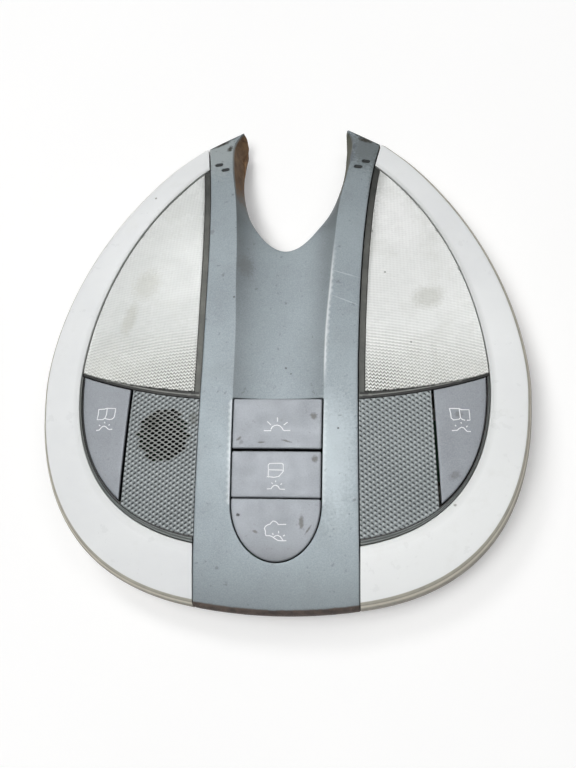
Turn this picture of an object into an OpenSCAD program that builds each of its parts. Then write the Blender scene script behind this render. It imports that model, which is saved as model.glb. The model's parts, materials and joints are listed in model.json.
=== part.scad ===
// Overhead console lamp of a car: a crowned face with a centre bezel, two opal light rings,
// two reading lamp lenses, two grilles and five push buttons over a tub-shaped housing.
// The face looks along +Z, the two arms that straddle the mirror stem point along +Y, and
// the flat back of the housing lies in the plane z = 0. Millimetres.

/* [Overall] */
// Width across the two light rings
unit_w = 204.4; // [196:0.2:214]
// Length from the arm tips to the lower edge
unit_l = 216.6; // [210:0.2:226]
// Height of the crown of the face above the back plane
unit_h = 36; // [34:0.5:42]
// Distance from the lower edge to the widest place
wide_from_low = 90.3; // [84:0.1:96]
// Crown radius across the unit
crown_r_x = 560; // [450:10:800]
// Crown radius along the unit
crown_r_y = 348; // [320:2:420]

/* [Light rings] */
// Width of a ring at the widest place of the unit
ring_side_w = 16.5; // [13:0.5:20]
// Width of a ring at its lower end
ring_low_w = 24.4; // [20:0.2:26]
// Depth of the rounded shoulder at the outer edge
ring_shoulder = 5; // [3:0.5:6]
// Depth of the ring from the face to its lower edge
ring_skirt = 6.5; // [5.5:0.5:8]
// Wall of the ring
ring_wall = 1.6; // [1.2:0.1:2]

/* [Bezel] */
// Width of the bezel at its lower end
bezel_low_w = 67.8; // [65:0.2:72]
// Width of the bezel at its waist
bezel_waist_w = 64.6; // [62:0.2:67]
// Width over the outer corners of the arms
arm_span = 77.2; // [74:0.2:82]
// Wall of the bezel
bezel_wall = 2.2; // [1.6:0.1:2.6]
// Depth of the walls round the arms and the notch
arm_depth = 12; // [9:0.5:13]
// Depth of the trough at its shallow end
trough_depth = 2.9; // [2:0.1:3.6]
// Radius of the trough across the unit
trough_r = 60; // [50:1:80]
// Radius of the trough floor along the unit
trough_r_y = 285; // [270:5:310]
// Width of the mirror stem notch between the arms
notch_w = 45.6; // [42:0.2:48]
// Length of the mirror stem notch from the arm tips
notch_l = 64.5; // [58:0.5:68]
// Slope of the inner faces of the arms, in degrees
arm_draft = 17; // [8:1:20]

/* [Buttons] */
// Width of the centre buttons
button_w = 36.4; // [33:0.2:38]
// Length of the dome lamp button
dome_button_l = 19.9; // [17:0.1:22]
// Length of the door light button
door_button_l = 18.1; // [16:0.1:20]
// Length of the rear lamp button
rear_button_l = 24.5; // [22:0.1:26]
// Distance from the lower edge to the rear lamp button
button_margin = 20.4; // [17:0.1:23]
// Width of the bar between the dome and door buttons
bar_w = 1.8; // [1.4:0.1:2.4]
// Gap round a button
button_gap = 0.5; // [0.4:0.05:0.7]
// Travel of every button
travel = 1.2; // [0.8:0.1:1.4]
// Wall of a button cap
cap_wall = 1.4; // [1:0.1:1.8]
// Depth of a button cap
cap_depth = 5.5; // [4.5:0.5:6.5]
// Height of the centre buttons above the bezel
button_proud = 0.2; // [0:0.1:0.4]
// Depth of the side buttons below the crown
side_button_drop = 0.3; // [0.1:0.1:0.6]
// Diameter of the stem under a button
stem_d = 5; // [4:0.5:6]
// Free space under a stem when its button is pressed
stem_gap = 0.6; // [0.4:0.1:1]
// Distance from the inner edge of a side button to the edge of the ring
side_button_w = 23.1; // [20:0.1:25]
// Lean of the inner edge of a side button, in degrees
side_button_lean = 4.2; // [2:0.2:6]

/* [Lenses and grilles] */
// Radius of the edge between lens and grille
lens_edge_r = 200; // [150:5:300]
// Wall of a lens
lens_wall = 2.2; // [1.8:0.1:2.6]
// Depth of a lens below the crown
lens_drop = 1; // [0.6:0.1:1.4]
// Visible width of the light shield beside a lens
shield_w = 2.4; // [2:0.1:3]
// Width of the light shield under the edge of a lens
shield_leg_w = 1; // [0.8:0.1:1.4]
// Wall of a grille
grille_wall = 2; // [1.6:0.1:2.4]
// Depth of a grille below the crown
grille_drop = 0.9; // [0.6:0.1:1.2]
// Width of the grille lip at its lower end
lip_low_w = 2.2; // [1.6:0.1:2.8]
// Width of the grille lip beside the side button
lip_side_w = 0.9; // [0.8:0.1:1.2]

/* [Housing] */
// Floor of the housing
floor_t = 2; // [1.6:0.1:2.6]
// Wall of the housing
tub_wall = 2; // [1.6:0.1:2.4]
// Thickness of the flange under the rings
flange_t = 2; // [1.6:0.1:2.4]
// Thickness of the front hooks
hook_t = 3; // [2:0.5:4]
// Height of the noses of the front hooks
hook_h = 5.5; // [4.5:0.5:6]
// Width of the front hooks
hook_w = 6; // [4:0.5:7]
// Diameter of the screw bosses
boss_d = 7; // [6:0.5:8]
// Diameter of the screw shanks
screw_d = 3; // [2.6:0.1:3.4]
// Diameter of the screw heads
screw_head_d = 5.6; // [5:0.2:6.6]
// Height of the screw heads
screw_head_h = 1.6; // [1.2:0.1:2]

/* [Board and lamps] */
// Height of the underside of the circuit board
board_z = 11; // [10.5:0.5:12]
// Thickness of the circuit board
board_t = 1.6; // [1.2:0.1:2]
// Width of a switch body
switch_w = 6.2; // [5.6:0.2:7]
// Height of a switch body
switch_h = 4.2; // [4:0.2:5]
// Diameter of a switch plunger
plunger_d = 3; // [2.4:0.1:3.4]
// Length of the connector socket
socket_l = 23; // [20:0.5:26]
// Width of the connector socket
socket_w = 9; // [8.5:0.5:11]
// Distance between the contacts of the connector
pin_pitch = 2.54; // [2:0.02:2.8]
// Width of a contact of the connector
pin_w = 0.64; // [0.5:0.02:0.8]
// Number of contacts in a row of the connector
pin_count = 8; // [4:1:8]
// Outer radius of a reading lamp reflector
reflector_r = 15.5; // [12:0.5:16]
// Radius of a reading bulb
bulb_r = 5; // [4:0.5:5.5]
// Free space between a reading bulb and its lens
bulb_gap = 3.6; // [3:0.1:6]
// Height of a reading lamp reflector
reflector_h = 12; // [9:0.5:13]
// Radius of a bulb holder
holder_r = 7.5; // [7:0.5:9]
// Height of a bulb holder above the floor
holder_h = 7; // [5:0.5:8]
// Length of a ring bulb
festoon_l = 31; // [28:0.5:33]
// Radius of a ring bulb
festoon_r = 4.3; // [3.5:0.1:5]
// Length of the metal cap of a ring bulb
festoon_cap_l = 6; // [4:0.5:7]
// Radius of the microphone
mic_r = 4.85; // [4:0.05:5]
// Height of the microphone
mic_h = 6.5; // [5:0.5:7]

/* [Clearances] */
// Gap between neighbouring trim pieces
trim_gap = 0.3; // [0.2:0.05:0.4]
// Gap between a piece and its seat
seat_gap = 0.2; // [0.1:0.05:0.3]
// Radial clearance of a switch plunger
plunger_gap = 0.3; // [0.2:0.05:0.4]

/* [Hidden] */

$fn = 48;
crown_fn = 200;
seg = 12;

half_w = unit_w / 2;
tip_y = unit_l / 2;
low_y = -unit_l / 2;
reach = unit_l;

// Rows of buttons, counted up from the lower edge
rear_y = low_y + button_margin;
door_y = rear_y + rear_button_l + button_gap;
dome_y = door_y + door_button_l + bar_w;
stack_y = dome_y + dome_button_l;
rear_round = 22.5;

// Outer edge of the rings, from the arm round to the lower end of a ring
wide_y = low_y + wide_from_low;
arm_x = arm_span / 2;
arm_y = tip_y - 9.4;
low_x = bezel_low_w / 2;
waist_x = bezel_waist_w / 2;
waist_y = stack_y + 15;
edge_low_y = low_y + 2.8;
outer_ctrl = [
  [arm_x + 0.7, arm_y + 1.3], [0.9 * half_w, wide_y + 73], [half_w, wide_y + 18],
  [half_w, wide_y], [half_w, wide_y - 18], [half_w + 1.8, low_y + 13.8],
  [low_x + trim_gap, edge_low_y]
];
outer_dir = [[0.65, 0.76], [0.72, 0.69], [1, 0], [1, 0], [1, 0], [0.75, -0.66], [0, -1]];

// Inner edge of the rings
inner_w = half_w - ring_side_w;
inner_low_y = edge_low_y + ring_low_w;
inner_ctrl = [
  [arm_x - 1.7, arm_y - 12.8], [0.89 * inner_w, wide_y + 70], [inner_w, wide_y + 20],
  [inner_w, wide_y], [inner_w, wide_y - 15], [inner_w - 2.2, inner_low_y + 9.3],
  [low_x + trim_gap, inner_low_y]
];
inner_dir = [[0.6, 0.8], [0.75, 0.66], [1, 0], [1, 0], [1, 0], [0.8, -0.6], [0, -1]];

// Edge between lens and grille
lens_y = stack_y + 1.1;
lens_edge_x = waist_x - 14.9;

// Parting between side button and grille
side_x = inner_w - side_button_w;

// Heights below the crown
flange_drop = ring_skirt + trim_gap;
flange_inset = 0.8;
rib_drop = 7.3;
rib_ledge = 1.4;
shield_drop = 1.2;
lip_drop = 0.2;
bar_drop = 1;
guide_depth = 4;
guide_wall = 1.2;
rim_wall = 1.2;
lap = 0.5;

// The bezel walls are deep in front of here and shallow behind
deep_y = stack_y + 19;

// Slots near the tips of the arms
slot_l = 2.2;
slot_w = 1.2;
slot_depth = 0.8;
slot_ats = [[arm_x - 9.1, arm_y - 13.3], [arm_x - 5.8, arm_y - 10.2]];

// Tub
tub_out = ring_wall + 2 * trim_gap + tub_wall;
well_x = low_x - 2.6;
well_low_y = rear_y - 8;
well_top_y = tip_y - 50.5;
notch_margin = 2.3;
skirt_wall = 1.8;
ring_skin = 2.2;

// Board, screws and switches
board_top = board_z + board_t;
stem_foot = board_top + switch_h + travel + stem_gap;
plunger_hold = 1;
board_screw_l = board_t + 6;
bezel_screw_l = 7;
head_gap = 0.1;
board_x = waist_x - 3.3;
board_low_y = rear_y - 3;
board_high_y = stack_y + 7;
wing_x = inner_w - 9.7;
side_switch = [inner_w - 13.2, stack_y - 12];
wing_low_y = side_switch[1] - 17;
wing_high_y = side_switch[1] + 9;
hole_d = screw_d + 0.2;
screw_inset = 3.6;
bezel_screw_x = waist_x - 5.3;
bezel_screw_ys = [stack_y + 25, tip_y - 62];

// Centre places of the five buttons
dome_at = [0, dome_y + dome_button_l / 2];
door_at = [0, door_y + door_button_l / 2];
rear_at = [0, rear_y + rear_button_l / 2];

// Lamps, between the rib beside the bezel and the light ring
rib_x = waist_x + trim_gap + shield_w + rib_ledge;
lamp_x = (rib_x + inner_w) / 2;
lamp_at = [lamp_x - 3, lens_y + 0.38 * (tip_y - lens_y)];
holder_top = floor_t + holder_h;
festoon_at = [lamp_x + 0.7, lens_y + 19];
festoon_z = floor_t + 12;
contact_t = 0.5;
contact_w = 6;
contact_foot = 3;

// Microphone under the left grille
mic_at = [-(waist_x + side_x) / 2 - 0.3, stack_y - 14.4];
boot_r = mic_r + 1.8;
boot_drop = 1.3;
mic_gap = 0.1;

// Connector socket
socket_at = [0, stack_y - 13];
socket_wall = 1.5;
socket_out = [socket_l + 2 * socket_wall, socket_w + 2 * socket_wall];
pin_l = 3.2;

// Spring clips
clip_w = 12;
clip_t = 0.7;
clip_flare = 5.2;
rear_clip_x = 20;

// Front hooks
hook_y = arm_y - 2;

// Height of the crown over a place on the face
function crown_z(p) =
  unit_h - crown_r_y + sqrt(pow(sqrt(pow(crown_r_x, 2) - p[0] * p[0]) + crown_r_y - crown_r_x, 2)
  - p[1] * p[1]);

// The reading bulbs end below the lenses
bulb_h = crown_z(lamp_at) - lens_drop - lens_wall - bulb_gap - holder_top;

// The clips end below the flange
clip_h = crown_z([inner_w + tub_out + clip_flare, wide_y - clip_w / 2]) - flange_drop - flange_t
  - floor_t - 2.5;
rear_clip_h = crown_z([rear_clip_x + clip_w / 2, well_low_y - clip_flare]) - flange_drop - flange_t
  - floor_t - 1;

// The boot ends under the grille, clear of its slope
boot_top = crown_z(mic_at) - grille_drop - grille_wall - boot_drop;

// Points along a cubic curve whose four control points start at k
function curve(p, k, n) = [
  for (i = [0 : n])
    let (t = i / n, u = 1 - t)
    u * u * u * p[k] + 3 * u * u * t * p[k + 1] + 3 * u * t * t * p[k + 2] + t * t * t * p[k + 3]
];

// Two joined curves, moved inwards by a distance
function path(ctrl, dirs, inset) =
  let (p = [for (k = [0 : 6]) ctrl[k] - inset * dirs[k]], second = curve(p, 3, seg))
  concat(curve(p, 0, seg), [for (i = [1 : seg]) second[i]]);

// Right-hand edge of the bezel, moved outwards by a distance
function edge(off) =
  let (p = [[waist_x, waist_y], [waist_x, waist_y + 30], [waist_x - 0.3, tip_y - 42.3], [arm_x, arm_y]])
  [
    each [[low_x + off, low_y - 10], [low_x + off, low_y + 18.3]],
    for (q = curve(p, 0, seg)) q + [off, 0]
  ];

module both_sides() {
  children();
  mirror([1, 0, 0]) children();
}

module prism() {
  translate([0, 0, -1]) linear_extrude(unit_h + 3) children();
}

// Everything below the crown, lowered by a distance
module under_crown(drop) {
  translate([0, 0, unit_h - crown_r_y - drop]) rotate([0, 90, 0])
    rotate_extrude($fn = crown_fn) intersection() {
      translate([crown_r_y - crown_r_x, 0]) circle(r = crown_r_x, $fn = crown_fn);
      translate([0, -reach / 2]) square([crown_r_y + 1, reach]);
    }
}

// Trough cutter in front of the buttons, with its tube enlarged by a distance
module trough_tube(grow) {
  intersection() {
    translate([0, 0, unit_h - trough_depth - trough_r_y]) rotate([0, 90, 0])
      rotate_extrude($fn = crown_fn)
        translate([trough_r_y + trough_r, 0]) circle(r = trough_r + grow, $fn = crown_fn);
    translate([-trough_r / 2, stack_y, 0]) cube([trough_r, reach, unit_h + 5]);
  }
}

// Everything below the face with its trough, lowered by a distance
module under_face(drop) {
  difference() {
    under_crown(drop);
    trough_tube(drop);
  }
}

// Layer between two depths below the crown, over an outline
module layer(top, bottom) {
  intersection() {
    prism() children();
    difference() {
      under_crown(top);
      under_crown(bottom);
    }
  }
}

// Outlines, seen from the face

module half_outline(points) {
  polygon(concat(points, [[0, points[len(points) - 1][1]], [0, points[0][1]]]));
}

module side_region(off) {
  polygon(concat(edge(off), [[arm_x + off, tip_y + 10], [unit_w, tip_y + 10], [unit_w, low_y - 10]]));
}

module notch_outline(grow) {
  x = notch_w / 2 + grow;
  y = tip_y - notch_l - grow;
  right = curve([[0, y], [0.47 * x, y], [x, y + 22.2], [x, y + 42.2]], 0, seg);
  polygon(concat(right, [[x, tip_y + 10], [0, tip_y + 10]]));
  mirror([1, 0]) polygon(concat(right, [[x, tip_y + 10], [0, tip_y + 10]]));
}

module bezel_outline(inset) {
  low_r = (pow(low_x, 2) + pow(edge_low_y - low_y, 2)) / (2 * (edge_low_y - low_y));
  right = [
    for (q = edge(-inset)) if (abs(q[1]) < arm_y - 1) q,
    [arm_x - inset, arm_y - 0.54 * inset],
    [notch_w / 2 + 1.2, tip_y - 1.19 * inset]
  ];
  left = [for (i = [len(right) - 1 : -1 : 0]) [-right[i][0], right[i][1]]];
  low = [
    for (i = [-4 : 4]) let (x = (low_x - inset) * i / 4)
      [x, low_y + low_r - sqrt(pow(low_r - inset, 2) - x * x)]
  ];
  difference() {
    polygon(concat(low, right, left));
    notch_outline(inset);
  }
}

// Window of the centre buttons, grown by a distance
module button_row(y, l, grow) {
  translate([-button_w / 2 - grow, y - grow]) square([button_w + 2 * grow, l + 2 * grow]);
}

module rear_outline(grow) {
  a = button_w / 2 + grow;
  y = rear_y + rear_round;
  polygon([
    for (i = [0 : 2 * seg]) let (t = 180 + 180 * i / (2 * seg))
      [a * cos(t), y + (rear_round + grow) * sin(t)],
    [a, rear_y + rear_button_l + grow],
    [-a, rear_y + rear_button_l + grow]
  ]);
}

module window_outline(grow) {
  rear_outline(button_gap + grow);
  button_row(door_y, stack_y - door_y, button_gap + grow);
}

module above_lens_edge(off) {
  translate([lens_edge_x, lens_y + lens_edge_r]) circle(r = lens_edge_r + off, $fn = crown_fn);
}

module lens_outline(inset) {
  intersection() {
    half_outline(path(inner_ctrl, inner_dir, trim_gap + inset));
    side_region(trim_gap + shield_w + seat_gap + inset);
    above_lens_edge(-seat_gap - inset);
  }
}

module strip_outline(from, to, leg_from, leg_to) {
  intersection() {
    half_outline(path(inner_ctrl, inner_dir, trim_gap));
    difference() {
      side_region(from);
      intersection() {
        side_region(to);
        above_lens_edge(leg_from);
      }
    }
    above_lens_edge(leg_to);
  }
}

// The edge of the grille runs on under its lip
module grille_outline(inset) {
  difference() {
    intersection() {
      inside_lip(inset - 0.5 * lip_side_w);
      side_region(trim_gap + inset);
    }
    right_of_parting(-button_gap - inset);
    above_lens_edge(shield_leg_w + trim_gap + inset);
  }
}

module right_of_parting(off) {
  translate([side_x + off, lens_y]) rotate(side_button_lean)
    translate([0, -reach]) square([reach, 2 * reach]);
}

// Region inside the grille lip, which is wider at the low end than beside the side button
module inside_lip(inset) {
  across = trim_gap + lip_side_w + inset;
  along = trim_gap + lip_low_w + inset;
  half_outline(path(inner_ctrl, [for (d = inner_dir) [across * d[0], along * d[1]]], 1));
}

module lip_outline() {
  difference() {
    intersection() {
      half_outline(path(inner_ctrl, inner_dir, trim_gap));
      side_region(trim_gap);
    }
    inside_lip(0);
    above_lens_edge(shield_leg_w + trim_gap);
  }
}

module side_button_outline(inset) {
  difference() {
    intersection() {
      inside_lip(button_gap + inset);
      right_of_parting(button_gap + inset);
    }
    above_lens_edge(shield_leg_w + button_gap + inset);
  }
}

module tub_outline(inset) {
  difference() {
    union() {
      intersection() {
        half_outline(path(inner_ctrl, inner_dir, inset - tub_out));
        union() {
          side_region(trim_gap + inset);
          translate([0, low_y]) square([reach, well_top_y - inset - low_y]);
        }
      }
      translate([0, well_low_y + inset])
        square([well_x - inset, well_top_y - well_low_y - 2 * inset]);
    }
    notch_outline(notch_margin + inset);
  }
}

// Pieces of the face

module ring() {
  outer = path(outer_ctrl, outer_dir, 0);
  inner = path(inner_ctrl, inner_dir, 0);
  // Each point of the section: share of the width, distance added to it, depth below the crown
  section = [
    [0, 0, 0], [0.3, 0, 0], [0.55, 0, 0.1],
    for (i = [0 : 6]) let (a = 15 * i)
      [1, ring_shoulder * (sin(a) - 1), 0.2 + (ring_shoulder - 0.2) * (1 - cos(a))],
    [1, 0, ring_skirt], [1, -ring_wall, ring_skirt], [1, -ring_wall, ring_shoulder],
    [1, -ring_shoulder, ring_skin + 0.4], [0, ring_wall, ring_skin], [0, ring_wall, ring_skirt - 2],
    [0, 0, ring_skirt - 2]
  ];
  m = len(section);
  n = len(outer);
  points = [
    for (k = [0 : n - 1]) let (across = outer[k] - inner[k], w = norm(across))
      for (s = section) let (q = inner[k] + across * (s[0] + s[1] / w))
        [q[0], q[1], crown_z(q) - s[2]]
  ];
  sides = [
    for (k = [0 : n - 2]) for (j = [0 : m - 1]) let (a = k * m + j, b = k * m + (j + 1) % m)
      each [[a, b, b + m], [a, b + m, a + m]]
  ];
  ends = [[for (j = [m - 1 : -1 : 0]) j], [for (j = [0 : m - 1]) (n - 1) * m + j]];
  color("WhiteSmoke") polyhedron(points, concat(sides, ends));
}

module lens() {
  color("Gainsboro") {
    layer(lens_drop, lens_drop + lens_wall) lens_outline(0);
    layer(lens_drop + lap, rib_drop - seat_gap) difference() {
      lens_outline(0);
      lens_outline(rim_wall);
    }
  }
}

module light_shield() {
  color("DimGray") layer(shield_drop, rib_drop - seat_gap)
    strip_outline(trim_gap, trim_gap + shield_w, 0, shield_leg_w);
}

module grille() {
  color("SlateGray") {
    layer(grille_drop, grille_drop + grille_wall) grille_outline(0);
    layer(grille_drop + lap, rib_drop - seat_gap) difference() {
      grille_outline(0);
      grille_outline(rim_wall);
    }
    layer(lip_drop, ring_skirt - 2) lip_outline();
  }
}

module arm_slots() {
  for (q = slot_ats) translate(q) rotate(-8) {
    square([slot_l, slot_w], center = true);
    for (x = [-slot_l / 2, slot_l / 2]) translate([x, 0]) circle(d = slot_w);
  }
}

// Cutter that gives the inner face of an arm its slope
module arm_slope() {
  start = [notch_w / 2 + 0.6, tip_y - 33];
  end = [notch_w / 2 + 3, tip_y - 8];
  run = end - start;
  fall = crown_z(start) - crown_z(end);
  translate([start[0], start[1], crown_z(start)])
    rotate([-atan(fall / run[1]), 0, -atan(run[0] / run[1])]) rotate([0, arm_draft, 0])
      translate([-20, 0, -arm_depth]) cube([20, 60, arm_depth + 20]);
}

module bezel_boss(y) {
  foot = floor_t + seat_gap;
  translate([bezel_screw_x, y, foot])
    cylinder(d = boss_d, h = crown_z([bezel_screw_x, y]) - bezel_wall + lap - foot);
}

module bezel() {
  color("LightSlateGray") difference() {
    union() {
      intersection() {
        prism() difference() {
          bezel_outline(0);
          window_outline(0);
        }
        difference() {
          under_face(0);
          under_face(bezel_wall);
        }
      }
      // Walls round the arms and the notch
      intersection() {
        prism() difference() {
          bezel_outline(0);
          bezel_outline(skirt_wall);
          translate([-reach, low_y - 1]) square([2 * reach, deep_y - low_y + 1]);
        }
        difference() {
          under_face(0);
          under_crown(arm_depth);
        }
      }
      // Shallow walls along the sides and the lower edge
      intersection() {
        prism() difference() {
          bezel_outline(0);
          bezel_outline(skirt_wall);
          translate([-reach, deep_y + lap]) square([2 * reach, reach]);
        }
        difference() {
          under_face(0);
          under_crown(ring_skirt);
        }
      }
      // Guide walls of the button window
      layer(bezel_wall - lap, bezel_wall + guide_depth) difference() {
        window_outline(guide_wall);
        window_outline(0);
      }
      // Bar between the dome and door buttons
      layer(bar_drop, bezel_wall + guide_depth)
        translate([-button_w / 2 - button_gap - lap, dome_y - bar_w + button_gap])
          square([button_w + 2 * (button_gap + lap), bar_w - 2 * button_gap]);
      both_sides() for (y = bezel_screw_ys) bezel_boss(y);
    }
    both_sides() {
      arm_slope();
      layer(-1, slot_depth) arm_slots();
      for (y = bezel_screw_ys)
        translate([bezel_screw_x, y, -1]) cylinder(d = hole_d, h = screw_head_h + bezel_screw_l + 2);
    }
  }
}

// Buttons, plungers and switches

module cap(drop) {
  difference() {
    layer(drop, drop + cap_depth) children(0);
    layer(drop + cap_wall, drop + cap_depth + 1) children(1);
  }
}

module stem(at, drop) {
  translate([at[0], at[1], stem_foot])
    cylinder(d = stem_d, h = crown_z(at) - drop - cap_wall + lap - stem_foot);
}

module dome_button() {
  color("Thistle") {
    cap(-button_proud) {
      button_row(dome_y, dome_button_l, 0);
      button_row(dome_y, dome_button_l, -cap_wall);
    }
    stem(dome_at, -button_proud);
  }
}

module door_button() {
  color("Thistle") {
    cap(-button_proud) {
      button_row(door_y, door_button_l, 0);
      button_row(door_y, door_button_l, -cap_wall);
    }
    stem(door_at, -button_proud);
  }
}

module rear_button() {
  color("Thistle") {
    cap(-button_proud) {
      rear_outline(0);
      rear_outline(-cap_wall);
    }
    stem(rear_at, -button_proud);
  }
}

module side_button() {
  color("Thistle") {
    cap(side_button_drop) {
      side_button_outline(0);
      side_button_outline(cap_wall);
    }
    stem(side_switch, side_button_drop);
  }
}

module plunger(at) {
  color("Ivory") translate([at[0], at[1], stem_foot])
    mirror([0, 0, 1]) cylinder(d = plunger_d, h = travel + stem_gap + plunger_hold);
}

module switch_body(at) {
  color("DarkSlateGray") translate([at[0], at[1], board_top]) difference() {
    translate([-switch_w / 2, -switch_w / 2, 0]) cube([switch_w, switch_w, switch_h]);
    translate([0, 0, switch_h - travel - plunger_hold - lap])
      cylinder(d = plunger_d + 2 * plunger_gap, h = travel + plunger_hold + 1);
  }
}

// Inside of the unit

module board_outline() {
  translate([-board_x, board_low_y]) square([2 * board_x, board_high_y - board_low_y]);
  translate([-wing_x, wing_low_y]) square([2 * wing_x, wing_high_y - wing_low_y]);
}

function board_screw_at(i) = [
  (i % 2 == 0 ? -1 : 1) * (board_x - screw_inset),
  i < 2 ? board_low_y + screw_inset : board_high_y - screw_inset
];

module circuit_board() {
  color("SeaGreen") translate([0, 0, board_z]) difference() {
    linear_extrude(board_t) board_outline();
    for (i = [0 : 3]) translate(board_screw_at(i))
      translate([0, 0, -1]) cylinder(d = hole_d, h = board_t + 2);
  }
}

module screw(at, head_z, length, up) {
  color("Silver") translate([at[0], at[1], head_z]) mirror([0, 0, up ? 0 : 1]) {
    cylinder(d = screw_d, h = length);
    mirror([0, 0, 1]) cylinder(d = screw_head_d, h = screw_head_h);
  }
}

module board_screw(i) {
  screw(board_screw_at(i), board_top, board_screw_l, false);
}

function bezel_screw_at(i) = [(i % 2 == 0 ? -1 : 1) * bezel_screw_x, bezel_screw_ys[i < 2 ? 0 : 1]];

module bezel_screw(i) {
  screw(bezel_screw_at(i), screw_head_h + head_gap, bezel_screw_l, true);
}

module connector_shell() {
  color("Black") translate([socket_at[0], socket_at[1], 0]) difference() {
    linear_extrude(board_z) square(socket_out, center = true);
    translate([0, 0, -1]) linear_extrude(board_z - socket_wall + 1)
      square([socket_l, socket_w], center = true);
  }
}

module connector_pins() {
  base = 0.8;
  color("Goldenrod") translate([socket_at[0], socket_at[1], board_z - socket_wall - base]) {
    translate([-pin_count * pin_pitch / 2, -pin_pitch, 0])
      cube([pin_count * pin_pitch, 2 * pin_pitch, base]);
    for (i = [0 : pin_count - 1], j = [0, 1])
      translate([(i - (pin_count - 1) / 2) * pin_pitch, (j - 0.5) * pin_pitch, -pin_l / 2])
        cube([pin_w, pin_w, pin_l], center = true);
  }
}

module reflector() {
  throat = bulb_r + 1.2;
  knee = 0.86 * reflector_r;
  color("Silver") translate([lamp_at[0], lamp_at[1], holder_top + seat_gap]) rotate_extrude()
    polygon([
      [throat, 0], [throat + 3, 0], [throat + 3.6, 1], [knee, reflector_h * 0.55],
      [reflector_r, reflector_h], [reflector_r - 1, reflector_h], [knee - 1, reflector_h * 0.6],
      [throat + 3, 2], [throat, 1]
    ]);
}

module bulb_holder() {
  color("DarkSlateGray") translate([lamp_at[0], lamp_at[1], 0]) {
    translate([0, 0, head_gap]) cylinder(r = holder_r, h = holder_top - head_gap);
    translate([0, 0, floor_t + head_gap]) cylinder(r = holder_r + 2, h = 1.6);
  }
}

module reading_bulb() {
  color("LightYellow") translate([lamp_at[0], lamp_at[1], holder_top]) {
    cylinder(r = bulb_r * 0.8, h = 3);
    translate([0, 0, 2]) cylinder(r = bulb_r, h = bulb_h - bulb_r - 2);
    translate([0, 0, bulb_h - bulb_r]) sphere(r = bulb_r);
  }
}

module ring_bulb() {
  cone_l = 1.5;
  tip_r = 0.8;
  color("LightYellow") translate([festoon_at[0], festoon_at[1], festoon_z]) rotate([0, 90, 0])
    translate([0, 0, -festoon_l / 2]) {
      translate([0, 0, cone_l]) cylinder(r = festoon_r - 1, h = festoon_l - 2 * cone_l);
      translate([0, 0, festoon_cap_l])
        cylinder(r = festoon_r, h = festoon_l - 2 * festoon_cap_l);
      cylinder(r1 = tip_r, r2 = festoon_r - 1, h = cone_l);
      translate([0, 0, festoon_l - cone_l]) cylinder(r1 = festoon_r - 1, r2 = tip_r, h = cone_l);
    }
}

// Leaf contact at one end of a ring bulb; dir is -1 at the inner end and 1 at the outer end
module ring_contact(dir) {
  x = festoon_at[0] + dir * (festoon_l / 2 + 0.05);
  color("Goldenrod") translate([x, festoon_at[1] - contact_w / 2, floor_t])
    mirror([dir < 0 ? 1 : 0, 0, 0]) {
      cube([contact_t, contact_w, festoon_z - floor_t + festoon_r - 1.3]);
      cube([contact_foot, contact_w, contact_t]);
    }
}

module microphone_boot() {
  color("DimGray") translate([mic_at[0], mic_at[1], board_top]) difference() {
    cylinder(r = boot_r, h = boot_top - board_top);
    translate([0, 0, boot_top - board_top - mic_h - 2 * mic_gap])
      cylinder(r = mic_r + mic_gap, h = mic_h + 1);
  }
}

module microphone() {
  color("Silver") translate([mic_at[0], mic_at[1], boot_top - mic_h - mic_gap])
    cylinder(r = mic_r, h = mic_h);
}

// Spring clip that stands against a wall of the tub and flares outwards
module clip(h) {
  color("LightSteelBlue") rotate([90, 0, 0]) translate([0, 0, -clip_w / 2]) linear_extrude(clip_w)
    polygon([
      [0, h], [0, 0], [1.6, 0], [clip_flare, 0.68 * h], [clip_flare - 2.4, 0.95 * h],
      [clip_flare - 3, 0.92 * h], [clip_flare - clip_t - 0.2, 0.68 * h], [1.3, clip_t],
      [clip_t, clip_t],
      [clip_t, h]
    ]);
}

module side_clip() {
  translate([inner_w + tub_out + seat_gap, wide_y, floor_t + 1]) clip(clip_h);
}

module rear_clip() {
  translate([rear_clip_x, well_low_y - seat_gap, floor_t]) rotate(-90) clip(rear_clip_h);
}

// Housing

module lens_rib() {
  strip_outline(trim_gap + seat_gap / 2, trim_gap + shield_w + rib_ledge, -rib_ledge, shield_leg_w);
}

// Floor plan in which the walls of the tub rise up to the rings and the bezel
module high_wall_region() {
  bezel_outline(skirt_wall + trim_gap);
  both_sides() difference() {
    side_region(tub_wall + 3 * trim_gap);
    half_outline(path(inner_ctrl, inner_dir, 0));
  }
}

module tub_walls() {
  intersection() {
    prism() both_sides() difference() {
      tub_outline(0);
      tub_outline(tub_wall);
    }
    union() {
      under_crown(arm_depth + trim_gap);
      intersection() {
        under_face(ring_skin + 2 * trim_gap);
        prism() high_wall_region();
      }
    }
  }
}

module flange() {
  layer(flange_drop, flange_drop + flange_t) both_sides() {
    intersection() {
      difference() {
        half_outline(path(outer_ctrl, outer_dir, flange_inset));
        half_outline(path(inner_ctrl, inner_dir, tub_wall / 2 - tub_out));
      }
      side_region(trim_gap + seat_gap);
    }
    // Tongue under the lower end of the bezel
    intersection() {
      half_outline(path(outer_ctrl, outer_dir, flange_inset));
      translate([0, low_y]) square([low_x + 1, well_low_y - low_y + tub_wall / 2]);
    }
  }
}

module board_bosses() {
  for (i = [0 : 3]) translate(board_screw_at(i)) cylinder(d = boss_d, h = board_z);
  both_sides() translate([wing_x - 12, wing_low_y + 4]) cylinder(d = boss_d, h = board_z);
}

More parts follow.
